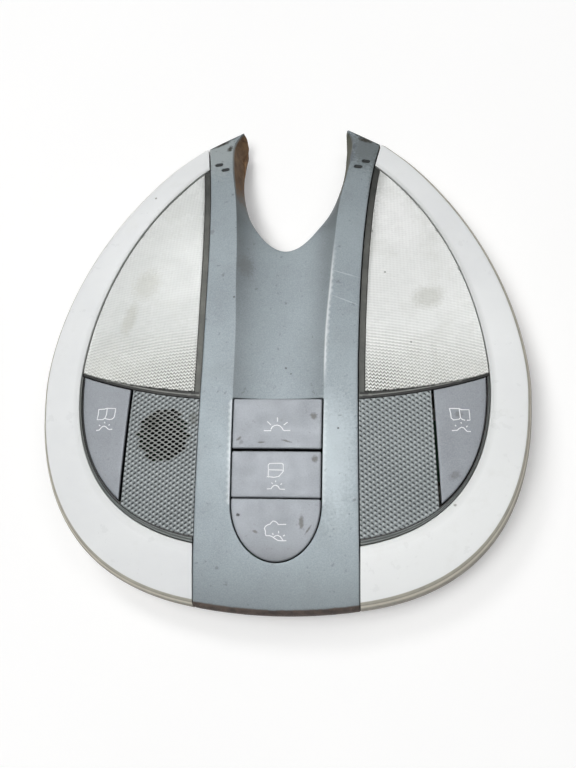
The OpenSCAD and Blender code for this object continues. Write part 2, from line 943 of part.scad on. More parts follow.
// Hook under an arm that slips over the edge of the roof panel
module front_hook() {
  x = (notch_w / 2 + arm_x) / 2 - hook_w / 2;
  translate([x, well_top_y - 1, floor_t + 1]) cube([hook_w, hook_y - well_top_y + 1, hook_t]);
  translate([x, hook_y - hook_t, floor_t + 1]) cube([hook_w, hook_t, hook_h]);
}

module housing() {
  color("Beige") difference() {
    union() {
      linear_extrude(floor_t) both_sides() tub_outline(0);
      tub_walls();
      intersection() {
        prism() both_sides() lens_rib();
        under_crown(rib_drop);
      }
      flange();
      board_bosses();
      both_sides() front_hook();
    }
    // Below the floor nothing stands out
    translate([-reach, -reach, -5]) cube([2 * reach, 2 * reach, 5]);
    for (i = [0 : 3]) translate(board_screw_at(i))
      translate([0, 0, floor_t]) cylinder(d = hole_d, h = board_z);
    for (i = [0 : 3]) translate(bezel_screw_at(i)) {
      translate([0, 0, -1]) cylinder(d = hole_d, h = floor_t + 2);
      translate([0, 0, -1]) cylinder(d = screw_head_d + 2 * seat_gap, h = screw_head_h + head_gap + 1);
    }
    both_sides() translate([lamp_at[0], lamp_at[1], -1])
      cylinder(r = holder_r + seat_gap, h = floor_t + 2);
    translate([socket_at[0], socket_at[1], -1]) linear_extrude(floor_t + 2)
      square([socket_out[0] + 2 * seat_gap, socket_out[1] + 2 * seat_gap], center = true);
  }
}

module left() {
  mirror([1, 0, 0]) children();
}

housing();
bezel();
left() ring();  // left_ring
ring();  // right_ring
left() lens();  // left_lens
lens();  // right_lens
left() light_shield();  // left_light_shield
light_shield();  // right_light_shield
left() grille();  // left_grille
grille();  // right_grille
dome_button();
door_button();
rear_button();
left() side_button();  // left_button
side_button();  // right_button
plunger(dome_at);  // dome_plunger
plunger(door_at);  // door_plunger
plunger(rear_at);  // rear_plunger
left() plunger(side_switch);  // left_plunger
plunger(side_switch);  // right_plunger
switch_body(dome_at);  // dome_switch
switch_body(door_at);  // door_switch
switch_body(rear_at);  // rear_switch
left() switch_body(side_switch);  // left_switch
switch_body(side_switch);  // right_switch
circuit_board();
connector_shell();
connector_pins();
left() reflector();  // left_reflector
reflector();  // right_reflector
left() reading_bulb();  // left_reading_bulb
reading_bulb();  // right_reading_bulb
left() bulb_holder();  // left_bulb_holder
bulb_holder();  // right_bulb_holder
left() ring_bulb();  // left_ring_bulb
ring_bulb();  // right_ring_bulb
left() ring_contact(-1);  // left_inner_contact
left() ring_contact(1);  // left_outer_contact
ring_contact(-1);  // right_inner_contact
ring_contact(1);  // right_outer_contact
microphone();
microphone_boot();
left() side_clip();  // left_clip
side_clip();  // right_clip
left() rear_clip();  // rear_left_clip
rear_clip();  // rear_right_clip
board_screw(0);  // board_screw_1
board_screw(1);  // board_screw_2
board_screw(2);  // board_screw_3
board_screw(3);  // board_screw_4
bezel_screw(0);  // bezel_screw_1
bezel_screw(1);  // bezel_screw_2
bezel_screw(2);  // bezel_screw_3
bezel_screw(3);  // bezel_screw_4
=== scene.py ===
import json
import math

import bpy
import numpy as np
from mathutils import Matrix, Vector
from mathutils.geometry import delaunay_2d_cdt


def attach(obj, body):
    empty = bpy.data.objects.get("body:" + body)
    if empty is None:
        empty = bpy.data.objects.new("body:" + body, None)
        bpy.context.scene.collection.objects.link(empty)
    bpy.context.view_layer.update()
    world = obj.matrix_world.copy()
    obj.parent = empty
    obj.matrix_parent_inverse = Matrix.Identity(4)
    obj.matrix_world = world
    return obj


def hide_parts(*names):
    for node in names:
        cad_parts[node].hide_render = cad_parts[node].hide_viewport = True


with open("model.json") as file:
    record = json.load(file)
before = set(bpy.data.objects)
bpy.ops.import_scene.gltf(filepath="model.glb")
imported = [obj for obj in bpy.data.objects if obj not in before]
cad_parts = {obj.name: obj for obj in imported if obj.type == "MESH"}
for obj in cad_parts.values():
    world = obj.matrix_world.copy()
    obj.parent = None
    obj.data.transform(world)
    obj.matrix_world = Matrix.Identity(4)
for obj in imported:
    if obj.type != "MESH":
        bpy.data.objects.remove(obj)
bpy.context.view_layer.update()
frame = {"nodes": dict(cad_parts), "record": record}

MM = 0.001

# Sizes of the unit, in millimetres
UNIT_H = 36.0
CROWN_RX, CROWN_RY = 560.0, 348.0
TIP_Y, LOW_Y = 108.3, -108.3
LOW_X, WAIST_X, WAIST_Y = 33.9, 32.3, -8.1
ARM_X, ARM_Y = 38.6, 98.9
LOW_RISE = 2.8
LOW_R = (LOW_X**2 + LOW_RISE**2) / (2 * LOW_RISE)
EDGE_LOW_Y = LOW_Y + LOW_RISE
INNER_W = 85.7
BUTTON_W = 36.4
REAR_Y, REAR_L, REAR_ROUND = -87.9, 24.5, 22.5
DOOR_Y, DOOR_L = -62.9, 18.1
DOME_Y, DOME_L = -43.0, 19.9
STACK_Y = DOME_Y + DOME_L
BUTTON_GAP, TRIM_GAP = 0.5, 0.3
NOTCH_X, NOTCH_Y = 22.8, 43.8
SHIELD_W, SHIELD_LEG = 2.4, 1.0
LENS_EDGE_R, LENS_EDGE_AT = 200.0, (17.4, 178.0)
SIDE_X, SIDE_LEAN = 62.6, math.radians(4.2)
LIP_LOW, LIP_SIDE, LIP_FOOT = 2.2, 0.9, 0.9
ARM_DEPTH, RING_SKIRT = 12.0, 6.5
ARM_DRAFT = math.tan(math.radians(17))

OUTER = np.array([(39.3, 100.2), (91.98, 55), (102.2, 0), (102.2, -18), (102.2, -36), (104, -94.5),
                  (34.2, -105.5)])
OUTER_DIR = np.array([(0.65, 0.76), (0.72, 0.69), (1, 0), (1, 0), (1, 0), (0.75, -0.66), (0, -1)])
INNER = np.array([(36.9, 86.1), (76.27, 52), (85.7, 2), (85.7, -18), (85.7, -33), (83.5, -71.8),
                  (34.2, -81.1)])
INNER_DIR = np.array([(0.6, 0.8), (0.75, 0.66), (1, 0), (1, 0), (1, 0), (0.8, -0.6), (0, -1)])


# Curves and heights

def cubic(p, n):
    t = np.linspace(0, 1, n + 1)[:, None]
    u = 1 - t
    return u**3 * p[0] + 3 * u * u * t * p[1] + 3 * u * t * t * p[2] + t**3 * p[3]


def path(ctrl, dirs, inset, n=60):
    p = ctrl - inset * dirs
    return np.vstack([cubic(p[0:4], n), cubic(p[3:7], n)[1:]])


def smooth(points, n=16):
    """Points of a smooth curve through some points"""
    p = np.array(points, float)
    q = np.vstack([2 * p[0] - p[1], p, 2 * p[-1] - p[-2]])
    out = []
    for k in range(len(p) - 1):
        a, b, c, d = q[k:k + 4]
        t = np.linspace(0, 1, n + 1)[:-1, None]
        out.append(0.5 * (2 * b + (c - a) * t + (2 * a - 5 * b + 4 * c - d) * t**2
                          + (3 * b - a - 3 * c + d) * t**3))
    return np.vstack(out + [p[-1:]])


def crown(x, y):
    return UNIT_H - CROWN_RY + np.sqrt((np.sqrt(CROWN_RX**2 - x * x) + CROWN_RY - CROWN_RX)**2 - y * y)


def step(a, b, x):
    t = np.clip((x - a) / (b - a), 0, 1)
    return t * t * (3 - 2 * t)


def edge(off, n=60):
    """Right-hand edge of the bezel from the low end to the arm, moved outwards"""
    p = [np.array(q) for q in ((WAIST_X, WAIST_Y), (WAIST_X, WAIST_Y + 30), (WAIST_X - 0.3, TIP_Y - 42.3),
                               (ARM_X, ARM_Y))]
    low = [(LOW_X, EDGE_LOW_Y - 1.5)] + [(LOW_X, y) for y in np.linspace(EDGE_LOW_Y, LOW_Y + 18.3, 8)]
    low += [(LOW_X + (WAIST_X - LOW_X) * t, LOW_Y + 18.3 + (WAIST_Y - LOW_Y - 18.3) * t)
            for t in np.linspace(0, 1, 25)[1:-1]]
    return np.vstack([low, cubic(p, n)]) + (off, 0)


RAIL = smooth([(18.7, -22.6), (18.85, 6), (20.05, 29), (21.0, 50), (22.2, 66), (25.1, 83), (26.8, 96),
               (26.3, 103), (23.9, 108.3)])


def rail_at(x, y):
    """Half width between the rails on the side of a point: the arms aren't quite alike"""
    left, right = 0.6 * step(40, 66, y) * step(108, 98, y), -0.5 * step(86, 98, y)
    return np.interp(y, RAIL[:, 1], RAIL[:, 0]) + np.where(np.asarray(x) < 0, left, right)


def in_trough(x, y):
    """Distance inwards from the inner edge of a rail"""
    return rail_at(x, y) - np.abs(x)


def trough_drop(x, y):
    """Depth of the trough and of the inner faces of the arms below the crown"""
    w, ax = rail_at(x, y), np.abs(x)
    floor = crown(0 * y, y) - (UNIT_H - 2.9 - 285 + np.sqrt(285.0**2 - y * y))
    hollow = floor * (1 - np.minimum(ax / w, 1)**2)
    slope = np.maximum(w - ax, 0) / ARM_DRAFT
    k = step(52, 82, y)
    drop = np.minimum(hollow * (1 - k) + slope * k, ARM_DEPTH - 0.5)
    return np.where((y > STACK_Y) & (ax < w), drop, 0)


def arm_fall(y):
    """Extra fall of the arm ends below the crown"""
    t = y - 85
    return 0.062 * (np.hypot(t, 2.5) + t)


def face(x, y):
    return crown(x, y) - trough_drop(x, y)


def beside(x, y, off=0):
    """Distance outwards from the edge of the bezel, moved outwards"""
    e = edge(off)
    return np.abs(x) - np.interp(y, e[:, 1], e[:, 0])


def from_low(x, y):
    """Distance from the curved lower edge of the bezel"""
    return LOW_R - np.hypot(x, y - LOW_Y - LOW_R)


# Meshes

def unit(v):
    return v / np.maximum(np.linalg.norm(v, axis=1, keepdims=True), 1e-9)


def clean(loop, gap=0.03):
    keep = [loop[0]]
    for p in loop[1:]:
        if np.hypot(*(p - keep[-1])) > gap:
            keep.append(p)
    if np.hypot(*(keep[0] - keep[-1])) < gap:
        keep.pop()
    return np.array(keep)


def area(loop):
    x, y = loop.T
    return 0.5 * np.sum(x * np.roll(y, -1) - y * np.roll(x, -1))


def wound(loop, left=True):
    loop = clean(np.asarray(loop, float))
    return loop if (area(loop) > 0) == left else loop[::-1]


def inset(loop, d):
    """Loop moved to its left"""
    a = unit(loop - np.roll(loop, 1, 0))
    b = unit(np.roll(loop, -1, 0) - loop)
    na, nb = a[:, ::-1] * (-1, 1), b[:, ::-1] * (-1, 1)
    m = unit(na + nb)
    return loop + m * (d / np.maximum((m * na).sum(1), 0.45))[:, None]


def rounded(loop, r, n=6):
    """Loop whose sharp corners are rounded"""
    out = []
    m = len(loop)
    for i in range(m):
        p, q, s = loop[i - 1], loop[i], loop[(i + 1) % m]
        a, b = p - q, s - q
        la, lb = np.hypot(*a), np.hypot(*b)
        turn = math.pi - math.acos(np.clip(a @ b / la / lb, -1, 1))
        if turn < 0.35:
            out.append(q)
            continue
        cut = min(r * math.tan(turn / 2), 0.45 * la, 0.45 * lb)
        u, v = q + a / la * cut, q + b / lb * cut
        for t in np.linspace(0, 1, n):
            out.append((1 - t)**2 * u + 2 * t * (1 - t) * q + t * t * v)
    return clean(np.array(out))


def dense(loop, gap):
    """Loop with points no further apart than a gap"""
    out = []
    for p, q in zip(loop, np.roll(loop, -1, 0)):
        k = max(1, math.ceil(np.hypot(*(q - p)) / gap))
        out += [p + (q - p) * t / k for t in range(k)]
    return np.array(out)


def inside(points, loops):
    """True for points inside an odd number of loops"""
    hit = np.zeros(len(points), bool)
    x, y = points[:, 0], points[:, 1]
    for loop in loops:
        for (x0, y0), (x1, y1) in zip(loop, np.roll(loop, -1, 0)):
            if y0 != y1:
                m = (y0 > y) != (y1 > y)
                hit[m] ^= x[m] < (x1 - x0) * (y[m] - y0) / (y1 - y0) + x0
    return hit


def distance(points, loop, reach, gap):
    """Distance of points to a closed loop, up to a reach"""
    d = np.full(len(points), float(reach))
    pts = dense(loop, gap)
    for k in range(0, len(pts), 64):
        e = pts[k:k + 64]
        m = np.where((points > e.min(0) - reach).all(1) & (points < e.max(0) + reach).all(1))[0]
        if len(m):
            d[m] = np.minimum(d[m], np.sqrt(((points[m][:, None] - e[None])**2).sum(2).min(1)))
    return d


def away(points, lines, gap):
    """Points that lie further than a gap from some closed loops"""
    for loop in lines:
        points = points[distance(points, loop, gap, gap) >= gap]
    return points


def boxed(p, lo, hi):
    return p[(p > lo).all(1) & (p < hi).all(1)]


def lattice(lo, hi, gx, gy):
    """Staggered points over a box"""
    r = np.hypot(*(np.array(hi) - lo)) / 2 + max(gx, gy)
    rows = []
    for j in range(-int(r / gy) - 1, int(r / gy) + 2):
        i = np.arange(-int(r / gx) - 1, int(r / gx) + 2) + 0.5 * (j % 2)
        rows.append(np.stack([i * gx, np.full(len(i), j * gy)], 1))
    return boxed(np.vstack(rows) + (np.array(lo) + hi) / 2, lo, hi)


def fill(loops, points, lines=()):
    """Triangles over the region in some loops, through some points and lines"""
    co, edges = [], []
    for loop in loops:
        k = len(co)
        co += list(loop)
        edges += [(k + i, k + (i + 1) % len(loop)) for i in range(len(loop))]
    for line in lines:
        k = len(co)
        co += list(line)
        edges += [(k + i, k + i + 1) for i in range(len(line) - 1)]
    co += list(points)
    at = [Vector((float(a), float(b))) for a, b in co]
    vs, _, fs, origin, _, _ = delaunay_2d_cdt(at, edges, [], 0, 1e-7)
    index, extra = [], []
    for v, o in zip(vs, origin):
        if o:
            index.append(o[0])
        else:
            index.append(len(co) + len(extra))
            extra.append((v.x, v.y))
    co = np.array(co + extra)
    tri = np.array([[index[i] for i in f] for f in fs])
    mid = co[tri].mean(1)
    tri = tri[inside(mid, loops)]
    a, b, c = co[tri[:, 0]], co[tri[:, 1]], co[tri[:, 2]]
    flip = np.cross(b - a, c - a) < 0
    tri[flip] = tri[flip][:, ::-1]
    return co, tri


class Form:
    """Vertices and faces of a piece, in millimetres"""

    def __init__(self):
        self.v, self.f, self.n = [], [], 0

    def add(self, verts, faces):
        self.v.append(np.asarray(verts, float))
        self.f += [tuple(int(i) + self.n for i in f) for f in faces]
        self.n += len(verts)
        return self

    def plate(self, loops, top, under, bevel, steps, grid, points=None, lines=(), skirt=None, wall=1.6,
              hole_bevel=None):
        """Closed shell over loops, the first of which is the outline, with rounded upper edges"""
        loops = [wound(l, i == 0) for i, l in enumerate(loops)]
        bevels = [bevel] + [hole_bevel] * (len(loops) - 1)
        verts, rings, faces = [], [], []

        def put(p, height, drop=0):
            """Numbers of points that are added at a height"""
            at = sum(map(len, verts))
            verts.append(np.column_stack([p, height(p[:, 0], p[:, 1]) - drop]))
            return np.arange(at, at + len(p))

        def cap(loops, ring, height, points, lines=()):
            co, tri = fill(loops, points, lines)
            return np.concatenate([*ring, put(co[sum(map(len, loops)):], height)])[tri]

        inner = loops
        if skirt:
            inner = [inset(l, wall if i == 0 else min(wall, 1.2)) for i, l in enumerate(loops)]
        rings.append([put(l, under) for l in inner])
        if skirt:
            rings += [[put(l, skirt) for l in inner], [put(l, skirt) for l in loops]]
        for k in range(steps + 1):
            a = 0.5 * math.pi * k / steps
            last = [inset(l, b * (1 - math.cos(a))) for l, b in zip(loops, bevels)]
            rings.append([put(l, top, b * (1 - math.sin(a))) for l, b in zip(last, bevels)])
        for low, high in zip(rings, rings[1:]):
            for a, b in zip(low, high):
                faces += list(zip(a, np.roll(a, -1), np.roll(b, -1), b))
        lo, hi = loops[0].min(0), loops[0].max(0)
        if points is None:
            points = lattice(lo, hi, grid, grid * 0.87)
        points = away(points[inside(points, last)], last, 0.45 * grid)
        points = away(points, [np.vstack([l, l[::-1]]) for l in lines], 0.35 * grid)
        faces += list(cap(last, rings[-1], top, points, lines))
        points = lattice(lo, hi, 5.0, 4.4)
        points = away(points[inside(points, inner)], inner, 1.5)
        faces += list(cap(inner, rings[0], under, points)[:, ::-1])
        return self.add(np.vstack(verts), faces)

    def sweep(self, sections):
        """Skin through closed sections of equal length, with flat ends"""
        m, k = len(sections[0]), len(sections)
        faces = [(a + j, a + (j + 1) % m, a + m + (j + 1) % m, a + m + j)
                 for a in range(0, (k - 1) * m, m) for j in range(m)]
        faces += [tuple(range(m))[::-1], tuple(range((k - 1) * m, k * m))]
        return self.add(np.vstack(sections), faces)

    def lathe(self, at, profile, n):
        """Solid of revolution about a vertical axis; the profile runs from axis to axis"""
        t = np.linspace(0, 2 * math.pi, n + 1)[:-1]
        verts, rows, c = [], [], 0
        for r, z in profile:
            m = n if r else 1
            verts.append(np.stack([at[0] + r * np.cos(t[:m]), at[1] + r * np.sin(t[:m]), np.full(m, z)], 1))
            rows.append(range(c, c + m))
            c += m
        faces = []
        for a, b in zip(rows, rows[1:]):
            for i in range(n):
                j = (i + 1) % n
                faces.append(tuple(dict.fromkeys((a[i % len(a)], a[j % len(a)], b[j % len(b)], b[i % len(b)]))))
        return self.add(np.vstack(verts), faces)

    def mirrored(self):
        out = Form()
        out.v = [v * (-1, 1, 1) for v in self.v]
        out.f, out.n = [f[::-1] for f in self.f], self.n
        return out

    def make(self, name, body, mat, nodes=(), slot=None, angle=40, attributes=None):
        mesh = bpy.data.meshes.new(name)
        v = np.vstack(self.v)
        mesh.from_pydata((v * MM).tolist(), [], self.f)
        mesh.polygons.foreach_set("use_smooth", np.ones(len(self.f), bool))
        mesh.set_sharp_from_angle(angle=math.radians(angle))
        for key, fn in (attributes or {}).items():
            a = mesh.attributes.new(key, "FLOAT", "POINT")
            a.data.foreach_set("value", np.asarray(fn(v[:, 0], v[:, 1], v[:, 2]), np.float32))
        mesh.update()
        mesh.materials.append(mat)
        obj = linked(name, mesh)
        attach(obj, body)
        if nodes:
            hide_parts(*nodes)


def linked(name, data):
    """New object in the scene"""
    obj = bpy.data.objects.new(name, data)
    bpy.context.scene.collection.objects.link(obj)
    return obj


# Materials

def srgb(colour):
    return tuple(c / 255 / 12.92 if c / 255 <= 0.04045 else ((c / 255 + 0.055) / 1.055)**2.4 for c in colour)


class Nodes:
    """A node tree whose nodes are added one by one"""

    def __init__(self, tree):
        self.tree = tree

    def put(self, socket, value):
        """Feeds an input from an output, or sets its value"""
        if isinstance(value, bpy.types.NodeSocket):
            self.tree.links.new(value, socket)
        else:
            socket.default_value = (*value, 1) if socket.type == "RGBA" else value

    def node(self, kind, values=None, out=0, **props):
        n = self.tree.nodes.new("ShaderNode" + kind)
        for key, value in props.items():
            setattr(n, key, value)
        for key, value in (values or {}).items():
            self.put(n.inputs[key], value)
        return n.outputs[out]

    def math(self, op, a, b=0.0):
        return self.node("Math", {0: a, 1: b}, operation=op)

    def times(self, a, b):
        return self.math("MULTIPLY", a, b)

    def ramp(self, fac, low, high, a=0.0, b=1.0):
        values = {"Value": fac, "From Min": low, "From Max": high, "To Min": a, "To Max": b}
        return self.node("MapRange", values, "Result")


class Shader(Nodes):
    """A material whose colours are laid over each other; a colour is 8-bit, or linear and at most 1"""

    def __init__(self, name, **settings):
        self.mat = bpy.data.materials.new(name)
        self.mat.use_nodes = True
        super().__init__(self.mat.node_tree)
        self.bsdf = self.tree.nodes["Principled BSDF"]
        self.coord = self.node("TexCoord", out="Object")
        for key, value in settings.items():
            self.set(key, value)

    def set(self, key, value):
        self.put(self.bsdf.inputs[key.replace("_", " ")], value)

    def noise(self, scale, detail=4, rough=0.6, distort=0.0):
        return self.node("TexNoise", {"Vector": self.coord, "Scale": scale, "Detail": detail,
                                      "Roughness": rough, "Distortion": distort}, "Fac")

    def mottle(self, scale, low=0.35, high=0.65, a=0.0, b=1.0, **noise):
        """Noise between two levels, spread over a range"""
        return self.ramp(self.noise(scale, **noise), low, high, a, b)

    def attribute(self, name, *levels):
        value = self.node("Attribute", out="Fac", attribute_name=name)
        return self.ramp(value, *levels) if levels else value

    def axis(self, key, *levels):
        """Place along X or Y in metres, or 0 to 1 between two places"""
        value = self.node("SeparateXYZ", {"Vector": self.coord}, key)
        return self.ramp(value, *levels) if levels else value

    def far(self, low, high):
        """0 to 1 between two distances from the middle plane"""
        return self.ramp(self.math("ABSOLUTE", self.axis("X")), low, high)

    def mix(self, fac, a, b):
        a, b = (srgb(c) if isinstance(c, tuple) and max(c) > 1 else c for c in (a, b))
        return self.node("Mix", {0: fac, 6: a, 7: b}, 2, data_type="RGBA")

    def lay(self, mask, amount, colour):
        """Lays a colour over the others by a mask"""
        self.base = self.mix(self.times(mask, amount), self.base, colour)

    def blotch(self, amount, colour, *spots):
        """Lays marks with uneven edges over the others: place, half lengths in mm and turn of each"""
        for x, y, rx, ry, turn in spots:
            p = self.node("Mapping", {"Vector": self.coord, "Location": (x * MM, y * MM, 0),
                                      "Rotation": (0, 0, math.radians(turn)),
                                      "Scale": (rx * MM, ry * MM, 1)}, vector_type="TEXTURE")
            d = self.node("VectorMath", {0: p}, "Value", operation="LENGTH")
            d = self.math("ADD", d, self.mottle(900, 0.2, 0.8, -0.45, 0.45, detail=3))
            self.lay(self.ramp(d, 1.25, 0.55), amount, colour)

    def finish(self, rough=None, grain=None):
        """Connects the colour, a roughness, and a grain of scale, detail, roughness, strength and mm"""
        self.set("Base_Color", self.base)
        if rough is not None:
            self.set("Roughness", rough)
        if grain:
            *noise, strength, height = grain
            self.set("Normal", self.node("Bump", {"Height": self.noise(*noise), "Strength": strength,
                                                  "Distance": height * MM}))
        return self.mat


FLAKE = dict(scale=1900, low=0.3, high=0.7, detail=2, rough=0.7)
SPECKS = dict(scale=480, low=0.66, high=0.76, detail=2, rough=0.5)
PAINT_GRAIN = (2200, 2, 0.6, 0.3, 0.02)


def plain(name, colour, rough, metal=0.0, spread=0.06):
    """Moulded or metal surface with slight mottling and grain"""
    s = Shader(name, Metallic=metal)
    colour = srgb(colour)
    dark = tuple(c * (1 - spread * 2) for c in colour)
    light = tuple(min(c * (1 + spread), 1) for c in colour)
    s.base = s.mix(s.mottle(260, 0.3, 0.7), dark, light)
    return s.finish(s.ramp(s.noise(780, 2, 0.55), 0.3, 0.7, rough - 0.06, rough + 0.08),
                    (3120, 2, 0.55, 0.25, 0.02))


def paint_material():
    """Satin metallic paint with fine flake, stains and worn brown edges, and painted shade and painted
    highlights
    """
    s = Shader("bezel_paint", Metallic=0.25)
    s.base = s.mix(s.mottle(28, 0.34, 0.66, rough=0.55), (138, 148, 154), (150, 161, 166))
    s.lay(s.mottle(**FLAKE), 0.35, (190, 200, 205))
    s.lay(s.mottle(75, 0.5, 0.78, detail=5, rough=0.65, distort=0.6), 0.22, (120, 124, 124))
    # painted shade along the creases, on the walls near the notch, at the arm ends and at the low end
    s.lay(s.attribute("painted_shade"), 0.85, (72, 76, 76))
    # painted highlight: a broad light patch on the right rail beside the buttons
    s.blotch(0.35, (206, 216, 220), (22.5, -46.0, 9.0, 26.0, 0))
    # painted light on the left arm end, painted shade on the right arm end and along its outer edge
    s.blotch(0.4, (196, 202, 200), (-33.0, 96.0, 9.0, 14.0, 0))
    s.blotch(0.5, (84, 88, 84), (33.5, 97.0, 9.0, 13.0, 0), (38.0, 84.0, 3.0, 16.0, -8))
    # painted highlight lines on the right-hand crease and the rims of the button window
    s.lay(s.attribute("painted_highlight"), 0.6, (240, 244, 245))
    s.lay(s.mottle(**SPECKS), 0.4, (84, 88, 88))
    # painted shade: the walls of the bezel near-black in the gaps
    s.lay(s.attribute("side", 0.05, 0.3), 1.0, (16, 16, 17))
    wobble = s.noise(240)
    patchy = s.ramp(wobble, 0.35, 0.65)
    height = s.attribute("inner")
    tall = s.ramp(s.math("ADD", s.axis("Y"), s.ramp(wobble, 0.2, 0.8, -0.006, 0.006)), 0.066, 0.080)
    wall = s.times(s.ramp(height, 0.25, 0.7), tall)
    brown = s.mix(patchy, (104, 74, 44), (136, 104, 70))
    s.lay(wall, 0.9, s.mix(s.axis("X", 0.001, -0.001), (98, 98, 84), brown))
    rim = s.attribute("rim")
    worn = s.ramp(s.math("ADD", rim, s.ramp(wobble, 0.2, 0.8, -0.1, 0.1)), 0.14, 0.36)
    s.lay(worn, 0.92, s.mix(patchy, (74, 62, 56), (104, 88, 78)))
    tip = s.ramp(s.math("SUBTRACT", s.attribute("tip"), height), 0.1, 0.6)
    s.lay(tip, 0.85, s.mix(patchy, (96, 92, 76), (132, 128, 108)))
    s.lay(s.attribute("slot", 0.1, 0.7), 0.95, (46, 48, 48))
    s.blotch(0.6, (196, 204, 208), (26.5, 31.4, 6.2, 0.22, -17), (26.4, 19.5, 5.8, 0.22, -22))
    s.blotch(0.75, (46, 48, 48), (-20.4, 21.3, 0.55, 0.5, 0), (2.5, -9.4, 0.5, 0.35, 0),
             (4.7, -11.9, 0.5, 0.35, 0), (24.8, -34.9, 0.45, 0.4, 0), (18.0, -39.8, 0.4, 0.6, 0))
    s.blotch(0.92, (56, 52, 44), (31.8, 101.6, 3.4, 1.2, -26), (-33.2, 101.4, 3.8, 1.1, 28),
             (-28.9, 98.4, 1.1, 1.9, -15))
    s.blotch(0.5, (92, 98, 108), (27.2, 97.6, 1.3, 1.5, 0), (26.0, 92.0, 1.6, 4.0, 0))
    s.blotch(0.5, (104, 106, 106), (-16.5, 36, 3.4, 5.2, 20), (-32.4, 52.8, 0.9, 1.4, 0),
             (31.7, -63.3, 0.9, 0.5, 30))
    matt = s.math("MAXIMUM", wall, s.ramp(rim, 0.1, 0.4))
    return s.finish(s.math("ADD", s.mottle(160, 0.3, 0.7, 0.46, 0.56), s.times(matt, 0.3)), PAINT_GRAIN)


def button_material():
    """Paint of the button caps, with painted shade greying the side buttons and darkening the cap walls in the
    gaps
    """
    s = Shader("button_paint", Metallic=0.25)
    s.base = s.mix(s.mottle(60), (148, 153, 159), (158, 163, 169))
    # painted shade: the side buttons greyer
    s.lay(s.far(0.030, 0.050), 0.22, (108, 112, 118))
    s.lay(s.mottle(**SPECKS), 0.35, (92, 92, 90))
    s.lay(s.mottle(**FLAKE), 0.3, (192, 196, 202))
    s.blotch(0.72, (92, 90, 84), (15.0, -30.2, 1.5, 1.3, 20), (15.7, -47.5, 1.4, 1.4, 0),
             (13.3, -75.4, 0.4, 2.2, -35), (10.5, -72.5, 1.0, 2.6, 0), (-15.6, -39.6, 1.2, 0.5, 40),
             (-8.0, -76.4, 1.3, 0.5, -20), (-6.0, -41.0, 1.6, 0.35, 5), (4.0, -40.4, 2.2, 0.4, -15))
    s.blotch(0.9, (30, 30, 32), (-15.2, -70.0, 0.85, 0.6, 0))
    s.blotch(0.45, (98, 98, 96), (71.4, -52.4, 2.6, 1.6, 30), (73.0, -28.0, 1.6, 1.3, 0),
             (-14.5, -41.0, 1.0, 0.8, 40))
    s.lay(s.mottle(110, 0.55, 0.8, detail=5, rough=0.7, distort=0.8), 0.22, (118, 120, 122))
    s.lay(s.axis("Y", -0.080, -0.089), 0.5, (110, 112, 114))
    # painted shade: the cap walls near-black in the gaps
    s.lay(s.attribute("deep", 0.03, 0.14), 1.0, (18, 18, 20))
    return s.finish(s.mottle(160, 0.3, 0.7, 0.48, 0.6), PAINT_GRAIN)


def opal_material():
    """Glossy opal plastic with a tan rim, darkened partly as painted shade, with a painted dark line and a
    painted light stripe across it, and painted shade at the inner edge and in the gap
    """
    s = Shader("opal_plastic")
    s.base = s.mix(s.mottle(22), (234, 236, 237), (241, 243, 243))
    # painted light: lighter towards the lower right
    s.lay(s.times(s.axis("X", -0.03, 0.05), s.axis("Y", 0.02, -0.06)), 0.8, (247, 249, 248))
    s.lay(s.mottle(90, 0.56, 0.8, detail=5, rough=0.7), 0.2, (210, 210, 202))
    s.blotch(0.8, (120, 118, 108), (71.4, -64.1, 0.7, 0.5, 0), (-60.0, 72.0, 0.5, 0.4, 0))
    s.blotch(0.4, (214, 216, 206), (69.0, -61.0, 4.0, 3.0, 30), (62.0, -50.0, 3.0, 5.0, -40))
    band = s.attribute("band")
    # tan rim, darkened partly as painted shade where it falls steeply
    rim = s.ramp(band, 0.0, 0.1)
    s.lay(rim, 1.0, s.mix(s.mottle(180), (166, 163, 152), (182, 178, 165)))
    # painted dark line and painted light stripe across the rim, then a mottled brown edge line
    s.lay(s.times(s.ramp(band, 0.36, 0.42), s.ramp(band, 0.5, 0.45)), 0.45, (120, 112, 100))
    s.lay(s.times(s.ramp(band, 0.46, 0.54), s.ramp(band, 0.78, 0.7)), 0.75, (220, 214, 200))
    s.lay(s.times(s.ramp(band, 0.82, 0.92), s.mottle(240, a=0.5)), 0.75, (136, 127, 116))
    # painted shade on the inner rounding at the lens
    s.lay(s.ramp(band, 0.0, -0.2), 0.7, (164, 167, 164))
    # painted shade: the inner wall dark in the gap at the bezel, grey at the top
    wall = s.mix(s.axis("Y", -0.012, 0.004), (30, 30, 30), (150, 152, 148))
    s.lay(s.ramp(band, -0.25, -0.6), 1.0, wall)
    return s.finish(s.math("ADD", s.mottle(120, 0.3, 0.7, 0.26, 0.36), s.times(rim, 0.2)),
                    (55, 2, 0.5, 0.08, 0.12))


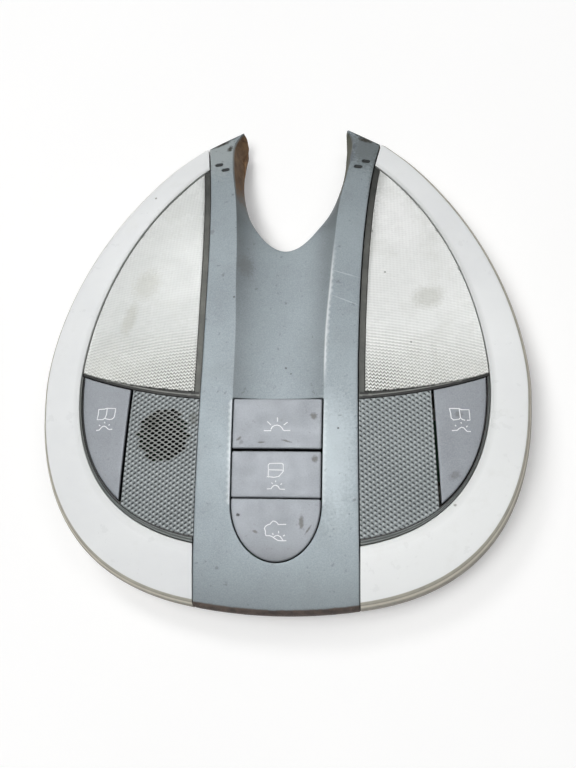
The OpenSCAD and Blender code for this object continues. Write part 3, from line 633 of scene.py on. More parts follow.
def lens_material():
    """Hazy clear plastic over a bright reflector, with painted light on the right lens, painted shade on the
    left, and painted shade and highlights on the prisms
    """
    s = Shader("lens_plastic")
    base = s.mix(s.mottle(30), (222, 225, 223), (236, 239, 237))
    # painted shade on the left lens, painted light on the right lens
    s.base = s.mix(s.axis("X", -0.01, 0.01), s.mix(0.16, base, (186, 188, 182)),
                   s.mix(0.55, base, (253, 254, 252)))
    low = s.axis("Y", 0.009, -0.015)
    s.lay(low, 0.5, (222, 222, 214))
    s.lay(s.attribute("edge"), 0.6, (96, 98, 92))
    s.lay(s.mottle(55, 0.5, 0.72, detail=5, rough=0.7, distort=0.5), 0.25, (190, 190, 180))
    s.blotch(0.4, (178, 178, 166), (-59.5, 29.0, 6.0, 7.0, -30), (-66.0, 13.0, 3.0, 8.0, -15),
             (60.5, 22.0, 6.5, 5.0, 20))
    # painted highlight: a haze of light on the top of the right lens
    s.blotch(0.6, (252, 253, 252), (47.0, 58.0, 9.0, 16.0, 25))
    s.blotch(0.8, (96, 96, 92), (42.5, 32.9, 0.4, 0.4, 0), (53.7, 1.9, 0.45, 0.45, 0))
    pit = s.attribute("groove")
    near = s.math("ADD", s.times(s.far(0.078, 0.046), 0.5), 0.5)
    deep = s.times(s.times(low, near), s.mottle(45, 0.3, 0.7, 0.65, 1.1, detail=3))
    # painted shade in the prism grooves and painted highlight on their ridges, strongest low down
    s.lay(s.ramp(pit, 0.3, 0.8), s.math("ADD", s.times(deep, 0.85), 0.11), (84, 87, 80))
    s.lay(s.ramp(pit, 0.35, 0.05), s.times(deep, 0.9), (250, 251, 248))
    return s.finish(s.mottle(140, 0.3, 0.7, 0.2, 0.34))


def strip_material():
    """Dull dark strip with lines of painted shade along the bezel gap and under the lens, and a painted
    highlight line under the lens
    """
    s = Shader("strip_plastic", Roughness=0.55)
    s.base = s.mix(s.mottle(90, 0.36, 0.64, detail=5, rough=0.7, distort=0.4), (84, 86, 82), (112, 113, 107))
    s.lay(s.axis("X", -0.01, 0.01), 0.35, (50, 52, 49))
    s.lay(s.far(0.050, 0.062), 0.75, (46, 47, 45))
    s.lay(s.times(s.axis("Y", 0.045, 0.072), s.mottle(160, 0.3, 0.7, 0.6, 1.0)), 0.95, (44, 46, 44))
    # painted shade along the bezel gap and under the lens
    s.lay(s.attribute("strip_shade"), 0.95, (24, 24, 23))
    # painted highlight line under the lens
    s.lay(s.attribute("painted_highlight"), 0.8, (150, 152, 147))
    return s.finish(grain=(700, 3, 0.6, 0.3, 0.05))


def lip_material():
    """Neutral grey lip, with painted shade at the ring and a near-black painted shadow in the gap at the grille
    """
    s = Shader("lip_plastic", Roughness=0.42)
    s.base = s.mix(s.mottle(90), (108, 114, 112), (124, 130, 128))
    s.lay(s.axis("X", -0.074, -0.082), 0.8, (152, 154, 150))
    # painted shade at the ring and in the gap at the grille
    s.lay(s.attribute("tone", 0.35, 0.05), 0.7, (62, 63, 60))
    s.lay(s.attribute("tone", 0.55, 0.7), 1.0, (18, 18, 17))
    return s.finish(grain=(1800, 2, 0.6, 0.25, 0.02))


def grille_material():
    """Grey mesh with painted shade on the upper side of each pit, a painted highlight below each, and dark holes
    """
    s = Shader("grille_plastic", Metallic=0.1, Roughness=0.48)
    s.base = s.mix(s.mottle(60), (140, 147, 148), (154, 161, 162))
    s.lay(s.axis("X", 0.001, -0.001), 0.22, (96, 100, 100))
    # painted highlight below each closed pit
    s.lay(s.attribute("glint"), 0.6, (222, 228, 229))
    # painted shade on the upper outer side of each pit
    s.lay(s.attribute("pit_shade", 0.1, 0.7), 0.95, (26, 28, 29))
    s.lay(s.attribute("patch"), 1.0, (134, 137, 134))
    s.blotch(0.45, (86, 86, 78), (-52.5, -32.5, 3.0, 3.5, 0), (-35.0, -31.0, 2.0, 3.0, 0))
    # painted shade: the hole walls near-black
    s.lay(s.attribute("hole"), 1.0, (8, 8, 8))
    return s.finish(grain=(1800, 2, 0.6, 0.3, 0.02))


paint = paint_material()
button_mat = button_material()
opal = opal_material()
lens_mat = lens_material()
grille_mat = grille_material()
lip_mat = lip_material()
strip_mat = strip_material()
housing_mat = plain("housing_plastic", (196, 192, 182), 0.5)
black_mat = plain("dark_plastic", (40, 42, 46), 0.5)
boot_mat = plain("microphone_rubber", (12, 12, 13), 0.95)
steel_mat = plain("spring_steel", (170, 172, 174), 0.3, metal=1.0)
brass_mat = plain("contact_brass", (190, 160, 90), 0.3, metal=1.0)
board_mat = plain("board_laminate", (40, 96, 62), 0.4)
bulb_mat = plain("bulb_glass", (225, 222, 205), 0.1)
icon_mat = plain("icon_print", (238, 240, 242), 0.5, spread=0.02)


# Outlines

def notch_side(n=40):
    """Right-hand side of the notch from its root to the arm tip"""
    c = cubic(np.array([(0, NOTCH_Y), (0.47 * NOTCH_X, NOTCH_Y), (NOTCH_X, NOTCH_Y + 22.2),
                        (NOTCH_X, NOTCH_Y + 42.2)]), n)
    return np.vstack([c, [(NOTCH_X, y) for y in np.linspace(NOTCH_Y + 42.2, TIP_Y, 16)[1:]]])


def bezel_loop():
    low = [(x, LOW_Y + LOW_R - math.sqrt(LOW_R * LOW_R - x * x)) for x in np.linspace(0, LOW_X, 24)]
    right = [q for q in edge(0) if q[1] > EDGE_LOW_Y + 0.5]
    half = np.vstack([low, right, [(24.0, TIP_Y)], notch_side()[::-1]])
    left = (half * (-1, 1))[::-1]
    return rounded(clean(np.vstack([half, left[1:-1]])), 0.8)


def row_loop(y, l):
    a = BUTTON_W / 2
    return rounded(np.array([(-a, y), (a, y), (a, y + l), (-a, y + l)], float), 0.8)


def round_loop(grow, top, r):
    """Loop with the rounded foot of the rear button, up to a straight top"""
    a = BUTTON_W / 2 + grow
    t = np.linspace(math.pi, 2 * math.pi, 97)
    arc = np.stack([a * np.cos(t), REAR_Y + REAR_ROUND + (REAR_ROUND + grow) * np.sin(t)], 1)
    return rounded(np.vstack([arc, [(a, top), (-a, top)]]), r)


def lens_arc(off, x0=28.0, x1=92.0, n=60):
    """Edge between lens and grille, moved outwards from its centre"""
    r = LENS_EDGE_R + off
    x = np.linspace(x0, x1, n)
    return np.stack([x, LENS_EDGE_AT[1] - np.sqrt(r * r - (x - LENS_EDGE_AT[0])**2)], 1)


def lens_low(off):
    """Lower edge of the lens: the strip below it widens towards the bezel"""
    a = lens_arc(off)
    return a + np.stack([0 * a[:, 0], 1.55 * np.clip((80 - a[:, 0]) / 36, 0, 1)], 1)


def crossing(a, b):
    """First crossing of two polylines as (place, index in a, index in b)"""
    for i in range(len(a) - 1):
        p, r = a[i], a[i + 1] - a[i]
        s = b[1:] - b[:-1]
        q = b[:-1] - p
        den = r[0] * s[:, 1] - r[1] * s[:, 0]
        with np.errstate(divide="ignore", invalid="ignore"):
            t = (q[:, 0] * s[:, 1] - q[:, 1] * s[:, 0]) / den
            u = (q[:, 0] * r[1] - q[:, 1] * r[0]) / den
        hit = np.where((t >= 0) & (t <= 1) & (u >= 0) & (u <= 1))[0]
        if len(hit):
            return p + t[hit[0]] * r, i, int(hit[0])
    raise ValueError("the lines don't cross")


def between(*lines):
    """Region bounded by polylines that cross in turn"""
    n = len(lines)
    ends = [crossing(lines[k], lines[(k + 1) % n]) for k in range(n)]
    out = []
    for k, line in enumerate(lines):
        (p, _, i), j = ends[k - 1], ends[k][1]
        out += [p, *(line[i + 1:j + 1] if i <= j else line[j + 1:i + 1][::-1])]
    return clean(np.array(out))


def parting(off):
    """Line between grille and side button, moved towards the button"""
    c, s = math.cos(SIDE_LEAN), math.sin(SIDE_LEAN)
    t = np.linspace(-80, 12, 60)
    return np.stack([SIDE_X + off - s * t, -22.0 + c * t], 1)


def lip_path(grow, n=60):
    across, along = TRIM_GAP + LIP_SIDE + grow, TRIM_GAP + LIP_LOW + LIP_FOOT + grow
    return path(INNER, INNER_DIR * (across, along), 1, n)


def closed_in(line):
    """Line run on from both ends to the middle of the unit"""
    return np.vstack([(0, line[0][1]), line, (0, line[-1][1])])


def lens_loop():
    ring = closed_in(path(INNER, INNER_DIR, TRIM_GAP))
    return between(ring, edge(TRIM_GAP + SHIELD_W + 0.2), lens_low(-0.2))


def grille_loop():
    return between(closed_in(lip_path(-0.45))[::-1], edge(TRIM_GAP), lens_arc(SHIELD_LEG + TRIM_GAP),
                   parting(-BUTTON_GAP))


def side_button_loop():
    return between(lip_path(BUTTON_GAP), parting(BUTTON_GAP), lens_arc(SHIELD_LEG + BUTTON_GAP))


# Camera, light and floor, in metres

# Name, place and watts of each lamp
LAMPS = [("key", -1.0, 1.6, 16.6), ("front", -0.1, -0.45, 13.0), ("left", -0.5, 0.0, 12.4),
         ("front_left", -0.5, -0.45, 8.1), ("back_right", 0.9, 0.9, 5.1), ("side", -1.0, 0.45, 3.8),
         ("front_right", 0.9, -0.7, 3.3)]
LAMP_Z, LAMP_SIZE = 2.4, 0.9
FLOOR_HALF, FLOOR_Z = 3.0, -1e-4
SKY_LOW, SKY_HIGH = 0.07, 0.08
GLOW, GLOW_SHARE = 1.98, 0.12


def stage():
    scene = bpy.context.scene
    cam = bpy.data.cameras.new("camera")
    cam.sensor_width, cam.lens = 36.0, 56.25
    cam.clip_start, cam.clip_end = 0.02, 5.0
    scene.camera = linked("camera", cam)
    turn = (Matrix.Rotation(0.1449630, 4, "Y") @ Matrix.Rotation(0.2835335, 4, "X")
            @ Matrix.Rotation(0.0401751, 4, "Z"))
    scene.camera.matrix_world = Matrix.Translation((0.07185, -0.1538, 0.5002)) @ turn
    scene.view_settings.view_transform = "Standard"

    scene.world = bpy.data.worlds.new("world")
    scene.world.use_nodes = True
    w = Nodes(scene.world.node_tree)
    back = w.tree.nodes["Background"]
    w.put(back.inputs["Color"], (1, 1, 1))
    height = w.node("SeparateXYZ", {0: w.node("TexCoord", out="Generated")}, "Z")
    w.put(back.inputs["Strength"], w.ramp(height, 0, 1, SKY_LOW, SKY_HIGH))
    seen = w.node("Background", {"Color": (1, 1, 1)})
    pick = w.node("MixShader", {0: w.node("LightPath", out="Is Camera Ray"), 1: back.outputs[0], 2: seen})
    w.put(w.tree.nodes["World Output"].inputs[0], pick)

    for name, x, y, watts in LAMPS:
        data = bpy.data.lights.new(name, "AREA")
        data.shape, data.size, data.energy = "DISK", LAMP_SIZE, watts
        at = Vector((x, y, LAMP_Z))
        facing = at.to_track_quat("Z", "Y").to_matrix().to_4x4()
        linked(name, data).matrix_world = Matrix.Translation(at) @ facing

    me = bpy.data.meshes.new("floor")
    s, z = FLOOR_HALF, FLOOR_Z
    me.from_pydata([(-s, -s, z), (s, -s, z), (s, s, z), (-s, s, z)], [], [(0, 1, 2, 3)])
    floor = linked("floor", me)
    sh = Shader("floor_paper", Roughness=0.9, Specular_IOR_Level=0.0)
    mottle = sh.mottle(6, 0.3, 0.7, detail=3, rough=0.55)
    sh.base = sh.mix(mottle, (0.94, 0.94, 0.93), (0.96, 0.96, 0.95))
    me.materials.append(sh.finish())
    glow = sh.node("Emission", {"Color": (0.985, 0.98, 1.0), "Strength": GLOW})
    share = sh.times(sh.node("LightPath", out="Is Camera Ray"), GLOW_SHARE)
    blend = sh.node("MixShader", {0: share, 1: sh.bsdf.outputs[0], 2: glow})
    sh.put(sh.tree.nodes["Material Output"].inputs["Surface"], blend)


stage()


# Bezel

LOW_EDGE = 2.4
SLOTS = [(ARM_X - 9.1, ARM_Y - 13.3), (ARM_X - 5.8, ARM_Y - 10.2)]
SLOT_TURN, SLOT_DEPTH = math.radians(-8), 0.8


def slot_depth(x, y):
    """Depth of the two slots near the tip of each arm"""
    out = np.zeros(len(x))
    for sx, sy in SLOTS:
        dx, dy = np.abs(x) - sx, y - sy
        u = dx * math.cos(SLOT_TURN) + dy * math.sin(SLOT_TURN)
        v = dy * math.cos(SLOT_TURN) - dx * math.sin(SLOT_TURN)
        d = np.hypot(np.maximum(np.abs(u) - 0.9, 0), v)
        out = np.maximum(out, SLOT_DEPTH * step(1.15, 0.6, d))
    return out


def low_fall(x, y):
    """Rounding of the lower edge of the bezel"""
    d = np.clip(LOW_EDGE - from_low(x, y), 0, LOW_EDGE)
    return 0.75 * (LOW_EDGE - np.sqrt(LOW_EDGE**2 - d * d))


def bezel_top(x, y):
    return face(x, y) - slot_depth(x, y) - low_fall(x, y) - arm_fall(y)


def crease_lines():
    ys = np.concatenate([np.linspace(-21.9, 50, 60), np.linspace(50, 106.5, 60)[1:]])
    lines = []
    for d in (-0.5, -0.22, 0.0, 0.22):
        for s in (1, -1):
            lines.append(np.stack([s * (rail_at(s, ys) + d), ys], 1))
    side = notch_side()
    notch = np.interp(ys, side[:, 1], side[:, 0])
    m = ys > 50
    for k in (0.3, 0.6):
        for s in (1, -1):
            w = rail_at(s, ys[m])
            lines.append(np.stack([s * (w + (notch[m] - w) * k), ys[m]], 1))
    return lines


def bezel_skirt(x, y):
    return crown(x, y) - np.where(y > -4.6, ARM_DEPTH, RING_SKIRT)


def bezel_points():
    """Interior points of the bezel: a coarse lattice, and finer ones at the slots and the lower edge"""
    coarse = lattice((-40, LOW_Y), (40, TIP_Y), 1.6, 1.4)
    fine = []
    for sx, sy in SLOTS:
        for s in (1, -1):
            c = np.array((s * sx, sy))
            fine.append(lattice(c - (2.4, 1.5), c + (2.4, 1.5), 0.24, 0.2))
            coarse = coarse[np.abs(coarse - c).max(1) > 2.4]
    low = lattice((-34, LOW_Y), (34, LOW_Y + 5), 1.2, 0.35)
    d = from_low(*low.T)
    fine.append(low[(d > 0.3) & (d < 2.8)])
    return np.vstack([coarse[from_low(*coarse.T) > 3.2]] + fine)


def bezel_painted_shade(x, y, z):
    """Painted shade: darker along the trough creases, most near the notch, on the inner walls below the arms,
    towards the arm ends and the low end of the bezel, and lightly over the trough
    """
    inner = in_trough(x, y)
    trough = (inner > -0.1) & (y > STACK_Y)
    side = np.where(x < 0, 1.0, 0.7)
    crease = np.exp(-(np.maximum(inner, 0) / 7.0)**2) * trough * (0.22 + 0.42 * step(0, 55, y) * side)
    wall = (inner > 0.2) * step(54, 66, y) * step(86, 76, y) * np.where(x < 0, 0.65, 0.35)
    tip = step(80, 87, y) * 0.06 + 0.06 * step(45, 75, y) + 0.3 * step(-84, -106, y) + 0.08 * trough
    return np.clip(np.maximum(crease, wall) + tip, 0, 1)


def bezel_wall_shade(x, y, z):
    """1 on the walls of the bezel in the gaps at the rings and at the buttons, which the paint turns near-black
    as painted shade
    """
    window = np.abs(x) < BUTTON_W / 2 + BUTTON_GAP + 0.12
    low = z < bezel_top(x, y) - 0.4
    window &= (y < STACK_Y + 0.4) & (y > REAR_Y - 0.6)
    return (low & (((beside(x, y) > -0.3) & (y < 98) & (y > -104)) | window)).astype(float)


def bezel_highlight(x, y, z):
    """Painted highlight line along the right-hand crease, and on the rims of the button window, stronger on the
    left
    """
    inner = in_trough(x, y)
    crease = (x > 0) * np.exp(-((inner + 0.1) / 0.35)**2) * step(-20, -5, y) * step(52, 30, y)
    a = BUTTON_W / 2 + BUTTON_GAP
    rim = np.where(x < 0, 1, 0.55) * (np.abs(np.abs(x) - a - 0.5) < 0.35) * (y > -66) * (y < STACK_Y)
    return np.maximum(crease, rim * 0.8)


def build_bezel():
    window = round_loop(BUTTON_GAP, STACK_Y + BUTTON_GAP, 0.9)
    loops = [dense(bezel_loop(), 1.2), dense(window, 1.0)]
    form = Form().plate(loops, bezel_top, lambda x, y: face(x, y) - 2.2, bevel=0.45, steps=4, grid=0.4,
                        points=bezel_points(), lines=crease_lines(), skirt=bezel_skirt, wall=1.8,
                        hole_bevel=0.35)
    for v in form.v:
        low = np.maximum(crown(v[:, 0], v[:, 1]) - arm_fall(v[:, 1]) - v[:, 2], 0)
        v[:, 1] -= 0.34 * low * step(90, 107, v[:, 1])
    attributes = {
        "slot": lambda x, y, z: slot_depth(x, y) / SLOT_DEPTH,
        "inner": lambda x, y, z: np.where(y > 20, np.clip(in_trough(x, y) / 0.8, 0, 1), 0),
        "painted_shade": bezel_painted_shade,
        "side": bezel_wall_shade,
        "painted_highlight": bezel_highlight,
        "tip": lambda x, y, z: ((y > 96) & (z < bezel_top(x, y) - 0.15)).astype(float),
        "rim": lambda x, y, z: np.clip((LOW_EDGE - from_low(x, y)) / LOW_EDGE, 0, 1),
    }
    form.make("bezel_panel", "lamp_unit", paint, ["bezel"], "bezel_paint", attributes=attributes)


# Light rings

# Place along the ring and width of its bare rim, on the right and on the left
BAND = {1: [(-110, 3.0), (-95, 2.9), (-75, 2.6), (-45, 1.9), (-20, 1.55), (10, 1.5), (45, 1.4), (80, 1.5),
            (105, 1.2)],
        -1: [(-110, 2.7), (-95, 2.6), (-75, 2.3), (-45, 1.6), (-20, 1.25), (10, 1.1), (45, 1.0), (80, 1.0),
             (105, 1.0)]}
BAND_ROWS = (1.12, 1.0, 0.9, 0.75, 0.62, 0.5, 0.4, 0.28, 0.15, 0.05, 0.0)
RING_END, RING_OUT = 98.6, 102.19


def band_width(side, y):
    """Width of the bare rim of a ring, seen from above"""
    b = np.array(BAND[side])
    return np.mean([np.interp(y + t, b[:, 0], b[:, 1]) for t in (-12, -8, -4, 0, 4, 8, 12)])


def build_ring(side):
    """Ring on one side: a gently rounded face, a falling bare rim and a thin wall"""
    n = 110
    outer, inner = path(OUTER, OUTER_DIR, 0, n), path(INNER, INNER_DIR, 0, n)
    rows = []
    for p, q in zip(inner, outer):
        w = np.hypot(*(q - p))
        d = (q - p) / w
        b = band_width(side, q[1])
        reach = b * 1.12 + 0.5
        part = [(0, 4.5), (0, 0.5)]
        turns = [math.radians(a) for a in (30, 60, 90)]
        part += [(0.5 * (1 - math.cos(a)), 0.5 * (1 - math.sin(a))) for a in turns]
        part += [(t * (w - reach), 0.12 * (t - 0.05)**2) for t in (0.2, 0.4, 0.6, 0.8, 1.0)]
        for k in BAND_ROWS:
            f = 1 - k * b / reach
            part.append((w - k * b, 0.1 + 2.6 * (1 - math.sqrt(max(1 - f * f, 0)))))
        part += [(w, 3.4), (w, 5.7), (w - 0.14, 5.8), (w - 0.14, 5.95), (w, 6.1), (w - 0.1, 6.5), (w - 1.6, 6.5),
                 (w - 1.6, 5.0), (w - 5.0, 3.4), (0.5 * w, 2.3), (1.6, 2.2), (1.6, 4.5)]
        part = np.array(part)
        xy = p + d * part[:, :1]
        z = crown(xy[:, 0], xy[:, 1]) - part[:, 1] - arm_fall(xy[:, 1]) * step(58, 46, xy[:, 0])
        past = np.maximum(xy[:, 1] - RING_END, 0)
        xy[:, 1] -= 0.9 * past**2 / (past + 1.0)
        xy[:, 0] = np.minimum(xy[:, 0], RING_OUT)
        rows.append(np.column_stack([xy * (side, 1), z]))
    if side < 0:
        rows = [r[::-1] for r in rows]
    return Form().sweep(rows), np.tile(band_places()[::side], len(rows))


def band_places():
    """Place across the rim for each point of a ring's section: 0 off the rim, then up to 1 at its edge"""
    rim = [max(0.001, 1 - k) if k < 1.1 else 0 for k in BAND_ROWS]
    return np.array([-1.0, -0.3, -0.2, -0.14, -0.1] + [0] * 5 + rim + [1, 1, 1.2, 1.2, 1, 1] + [0] * 6)


# Lenses

PRISM_U, PRISM_V, PRISM_SHRINK, PRISM_LEAN = 1.44, 1.33, 0.0066, 0.06
ROW_CENTRE = 370.0
LENS_RELIEF = 0.26


def prism_axes(x, y):
    """Column and row of the prisms; the rows are arcs that draw closer towards the tip"""
    s = np.hypot(x, y + ROW_CENTRE) - ROW_CENTRE
    row = -np.log(1 - PRISM_SHRINK * s / PRISM_V) / PRISM_SHRINK
    return (np.abs(x) + PRISM_LEAN * s) / PRISM_U, row


def prism_points(lo, hi, across=4, along=5):
    """Places on a fine lattice of the prisms inside a box"""
    rows = np.arange(-60, 90, 1 / along)
    s = (1 - np.exp(-PRISM_SHRINK * rows)) * PRISM_V / PRISM_SHRINK
    u = np.arange(15, 80, 1 / across)
    x = u[None] * PRISM_U - PRISM_LEAN * s[:, None]
    y = np.sqrt((ROW_CENTRE + s[:, None])**2 - x * x) - ROW_CENTRE
    return boxed(np.stack([x.ravel(), y.ravel()], 1), lo, hi)


def prism(x, y):
    """Depth of the fine prisms, from 0 on their ridges to 1: rows that break up into a zigzag low down"""
    u, v = prism_axes(x, y)
    saw = 2 * np.abs(2 * (u - np.floor(u)) - 1) - 1
    zig = 0.27 * step(5, -8, y)
    row = 0.5 - 0.5 * np.cos(2 * math.pi * (v + zig * saw))
    line = 0.5 - 0.5 * np.cos(2 * math.pi * u)
    k = 0.12 + 0.33 * step(-10, 35, y)
    return row * (1 - k) + line * k


def lens_edge(x, y, z):
    """Darker band along the strip beside the bezel, wider towards the arms"""
    across = np.maximum(beside(x, y, TRIM_GAP + SHIELD_W), 0)
    wide = np.where(x > 0, 1.2 + 2.4 * step(30, 75, y), 0.6 + 0.8 * step(30, 75, y))
    return np.exp(-(across / wide)**2) * np.where(x > 0, 0.75, 0.6) * step(10, 30, y)


def build_lens():
    loop = wound(dense(rounded(lens_loop(), 0.5), 0.6))

    def top(x, y):
        z = crown(x, y) - 1.0
        strength = LENS_RELIEF * (0.2 + 0.8 * step(24, -6, y))
        fade = step(0.25, 0.75, distance(np.stack([x, y], 1), loop, 1.0, 0.25))
        return z - strength * fade * prism(x, y)

    return Form().plate([loop], top, lambda x, y: crown(x, y) - 3.2, bevel=0.3, steps=3, grid=0.45,
                        points=prism_points(loop.min(0), loop.max(0)),
                        skirt=lambda x, y: crown(x, y) - 7.1, wall=1.2)


# Strips beside and under the lenses

def strip_loop():
    """Outline of the strip that runs along the bezel and turns under the lens"""
    ring = closed_in(path(INNER, INNER_DIR, TRIM_GAP))
    out_edge, in_edge = edge(TRIM_GAP), edge(TRIM_GAP + SHIELD_W)
    low, high = lens_arc(SHIELD_LEG), lens_low(0)
    a, ra, ea = crossing(ring, out_edge)
    b, rb, ib = crossing(ring, in_edge)
    c, ic, hc = crossing(in_edge, high)
    d, rd, hd = crossing(ring, high)
    e, re, le = crossing(ring, low)
    f, lf, ef = crossing(low, out_edge)
    runs = [a, *ring[ra + 1:rb + 1], b, *in_edge[ic + 1:ib + 1][::-1], c, *high[hc + 1:hd + 1], d,
            *ring[rd + 1:re + 1], e, *low[lf + 1:le + 1][::-1], f, *out_edge[ef + 1:ea + 1]]
    return clean(np.array(runs))


def leg_at(x, y):
    """Place across the strip under the lens, from 0 at the lens"""
    return np.hypot(np.abs(x) - LENS_EDGE_AT[0], y - LENS_EDGE_AT[1]) - LENS_EDGE_R


LEG_STRIPES = (-0.62, -0.52, -0.12, -0.02, 0.4, 0.5)


def leg_lines():
    """Lines inside the strip, where its finish changes"""
    lines = []
    for d in LEG_STRIPES:
        a = lens_arc(d, 38.5, 80.0, 90)
        ring = path(INNER, INNER_DIR, TRIM_GAP + 0.5)[30:91][::-1]
        limit = np.interp(a[:, 1], ring[:, 1], ring[:, 0])
        room = a[:, 1] < np.interp(a[:, 0], *lens_low(0.3).T)
        lines.append(a[(a[:, 0] < limit) & room])
    return [l for l in lines if len(l) > 1]


def strip_painted_shade(x, y, z):
    """Painted shade: dark stripes along the bezel, under the lens and at the grille"""
    across = beside(x, y, TRIM_GAP)
    leg = leg_at(x, y)
    side = np.clip((0.7 - across) / 0.4, 0, 1) * np.where(x < 0, 0.15, 0.35)
    under = y < np.interp(np.abs(x), *lens_low(-0.05).T)
    dark = (leg < -0.5) | (leg > -0.04)
    return np.maximum(side, np.where(under & dark & (across > 0.4), 0.9, 0))


def strip_highlight(x, y, z):
    # painted highlight line under the lens
    leg = leg_at(x, y)
    return np.where((leg > -0.55) & (leg < -0.08) & (y < 0), 0.75, 0)


def build_strip():
    loop = wound(dense(rounded(strip_loop(), 0.25), 0.9))
    return Form().plate([loop], lambda x, y: crown(x, y) - 1.2, lambda x, y: crown(x, y) - 6.9, bevel=0.15,
                        steps=2, grid=0.4, lines=leg_lines())


# Grilles

WEAVE = np.array([(3.105, -0.106), (-0.160, 2.018)])
PIT_W, PIT_H, PIT_TURN = 0.86, 0.52, math.radians(-4)
MIC = (47.8, -37.5)
MIC_R = 10.95
DIMPLE = 0.48
STROKE = (0.78, 0.4, math.radians(-34))


def pit_axes(x, y, w=PIT_W, h=PIT_H, turn=PIT_TURN):
    """Place in the nearest pit, along and across it in half lengths of the pit, and how far the pit is
    from the microphone"""
    place = np.stack([np.abs(x) - MIC[0], y - MIC[1]], 1)
    p = place @ np.linalg.inv(WEAVE).T
    c, s = math.cos(turn), math.sin(turn)
    best = None
    for shift in (0, 0.5):
        q = p - shift
        q = (q - np.round(q)) @ WEAVE.T
        a, b = (q[:, 0] * c + q[:, 1] * s) / w, (q[:, 1] * c - q[:, 0] * s) / h
        q = np.stack([a, b, np.hypot(*(place - q).T)], 1)
        best = q if best is None else np.where((a * a + b * b < (best[:, :2]**2).sum(1))[:, None], q, best)
    return best.T


def pit_shape(x, y):
    """1 on the floor of a closed pit, 0 between the pits"""
    a, b, _ = pit_axes(x, y, *STROKE)
    return step(1.45, 0.5, np.hypot(a, b))


def pit_slant(x, y):
    """Place in a closed pit from its upper outer rim, 1, to its lower inner rim, -1"""
    a, b, _ = pit_axes(x, y, *STROKE)
    return np.clip(b, -1, 1)


def pit_highlight(x, y, z):
    """1 on a round painted highlight below each closed pit"""
    a, b, _ = pit_axes(np.abs(x) + 0.22, y + 0.62, 0.5, 0.42, 0.0)
    return step(1.35, 0.3, np.hypot(a, b))


def pierced(x, y):
    """1 where the nearest pit is an opening over the microphone"""
    return (pit_axes(x, y)[2] < MIC_R).astype(float)


def weave_points(lo, hi):
    k = np.arange(-200, 201) / 8
    p = np.stack([a.ravel() for a in np.meshgrid(k, k)], 1) @ WEAVE.T + MIC
    return boxed(p, lo, hi)


def hole_loops():
    c, s = math.cos(PIT_TURN), math.sin(PIT_TURN)
    t = np.linspace(0, 2 * math.pi, 15)[:-1]
    a, b = PIT_W * np.cos(t), (PIT_H - 0.02) * np.sin(t)
    oval = np.stack([a * c - b * s, a * s + b * c], 1)
    k = np.arange(-8, 9)
    even = np.stack([a.ravel() for a in np.meshgrid(k, k)], 1)
    at = np.vstack([even, even + 0.5]) @ WEAVE.T
    return [oval + p + MIC for p in at if math.hypot(*p) < MIC_R]


def build_grille(holes):
    loop = wound(dense(rounded(grille_loop(), 0.3), 0.5))
    loops = [loop] + (hole_loops() if holes else [])

    def top(x, y):
        z = crown(x, y) - 0.9
        depth = pit_shape(x, y) * (1 + 0.35 * pit_slant(x, y))
        fade = step(0.2, 0.7, distance(np.stack([x, y], 1), loop, 1.0, 0.25))
        if holes:
            fade = fade * (1 - pierced(x, y))
        return z - DIMPLE * fade * depth

    return Form().plate(loops, top, lambda x, y: crown(x, y) - 2.9, bevel=0.25, steps=2, grid=0.42,
                        points=weave_points(loop.min(0), loop.max(0)), hole_bevel=0.12)


def build_lip():
    """Lip between ring and grille: a flat outer band, a groove and a rounded inner ridge"""
    n = 120
    r = LENS_EDGE_R + SHIELD_LEG + TRIM_GAP
    out = []
    for p, q in zip(path(INNER, INNER_DIR, TRIM_GAP, n), lip_path(-0.02, n)):
        w = np.hypot(*(q - p))
        if p[1] > LENS_EDGE_AT[1] - math.sqrt(r**2 - (p[0] - LENS_EDGE_AT[0])**2):
            continue
        d = (q - p) / w
        rows = []
        for a, z in ((0, 4.3), (0, 0.5), (0.04, 0.34), (0.12, 0.3), (0.26, 0.36), (0.31, 0.46), (0.36, 0.26),
                     (0.42, 0.14), (0.5, 0.1), (0.55, 0.14), (0.59, 0.3), (0.6, 1.5), (1, 1.6), (1, 4.3)):
            xy = p + d * w * a
            rows.append((xy[0], xy[1], crown(xy[0], xy[1]) - z))
        out.append(np.array(rows))
    places = [0, 0.1, 0.2, 0.3, 0.2, 0, 0.4, 0.5, 0.5, 0.5, 0.55, 1, 1, 1]
    return Form().sweep(out), np.tile(places, len(out))


# Buttons

def cap_form(loop, top):
    loop = wound(dense(loop, 0.8))
    return Form().plate([loop], top, lambda x, y: top(x, y) - 1.4, bevel=0.55, steps=5, grid=1.6,
                        skirt=lambda x, y: top(x, y) - 5.5, wall=1.4)


def stem(form, at, top):
    z = top(*at) - 1.2
    foot = 19.0
    return form.lathe(at, [(0, foot), (2.2, foot), (2.5, foot + 0.3), (2.5, z), (0, z)], 24)


def ribbon(form, line, top, width=0.42, height=0.035):
    """Printed line on a cap"""
    p = np.reshape(line, (-1, 2))
    e = unit(p[1:] - p[:-1])
    d = unit(np.vstack([e[:1], e[:-1] + e[1:], e[-1:]]))
    n = d[:, ::-1] * (-1, 1) * width / 2
    p[0] -= d[0] * width * 0.3
    p[-1] += d[-1] * width * 0.3
    rows = []
    for a, b in zip(p, n):
        q = np.array([a + b, a - b, a - b, a + b])
        z = top(q[:, 0], q[:, 1]) + (-0.1, -0.1, height, height)
        rows.append(np.column_stack([q, z]))
    return form.sweep(rows)


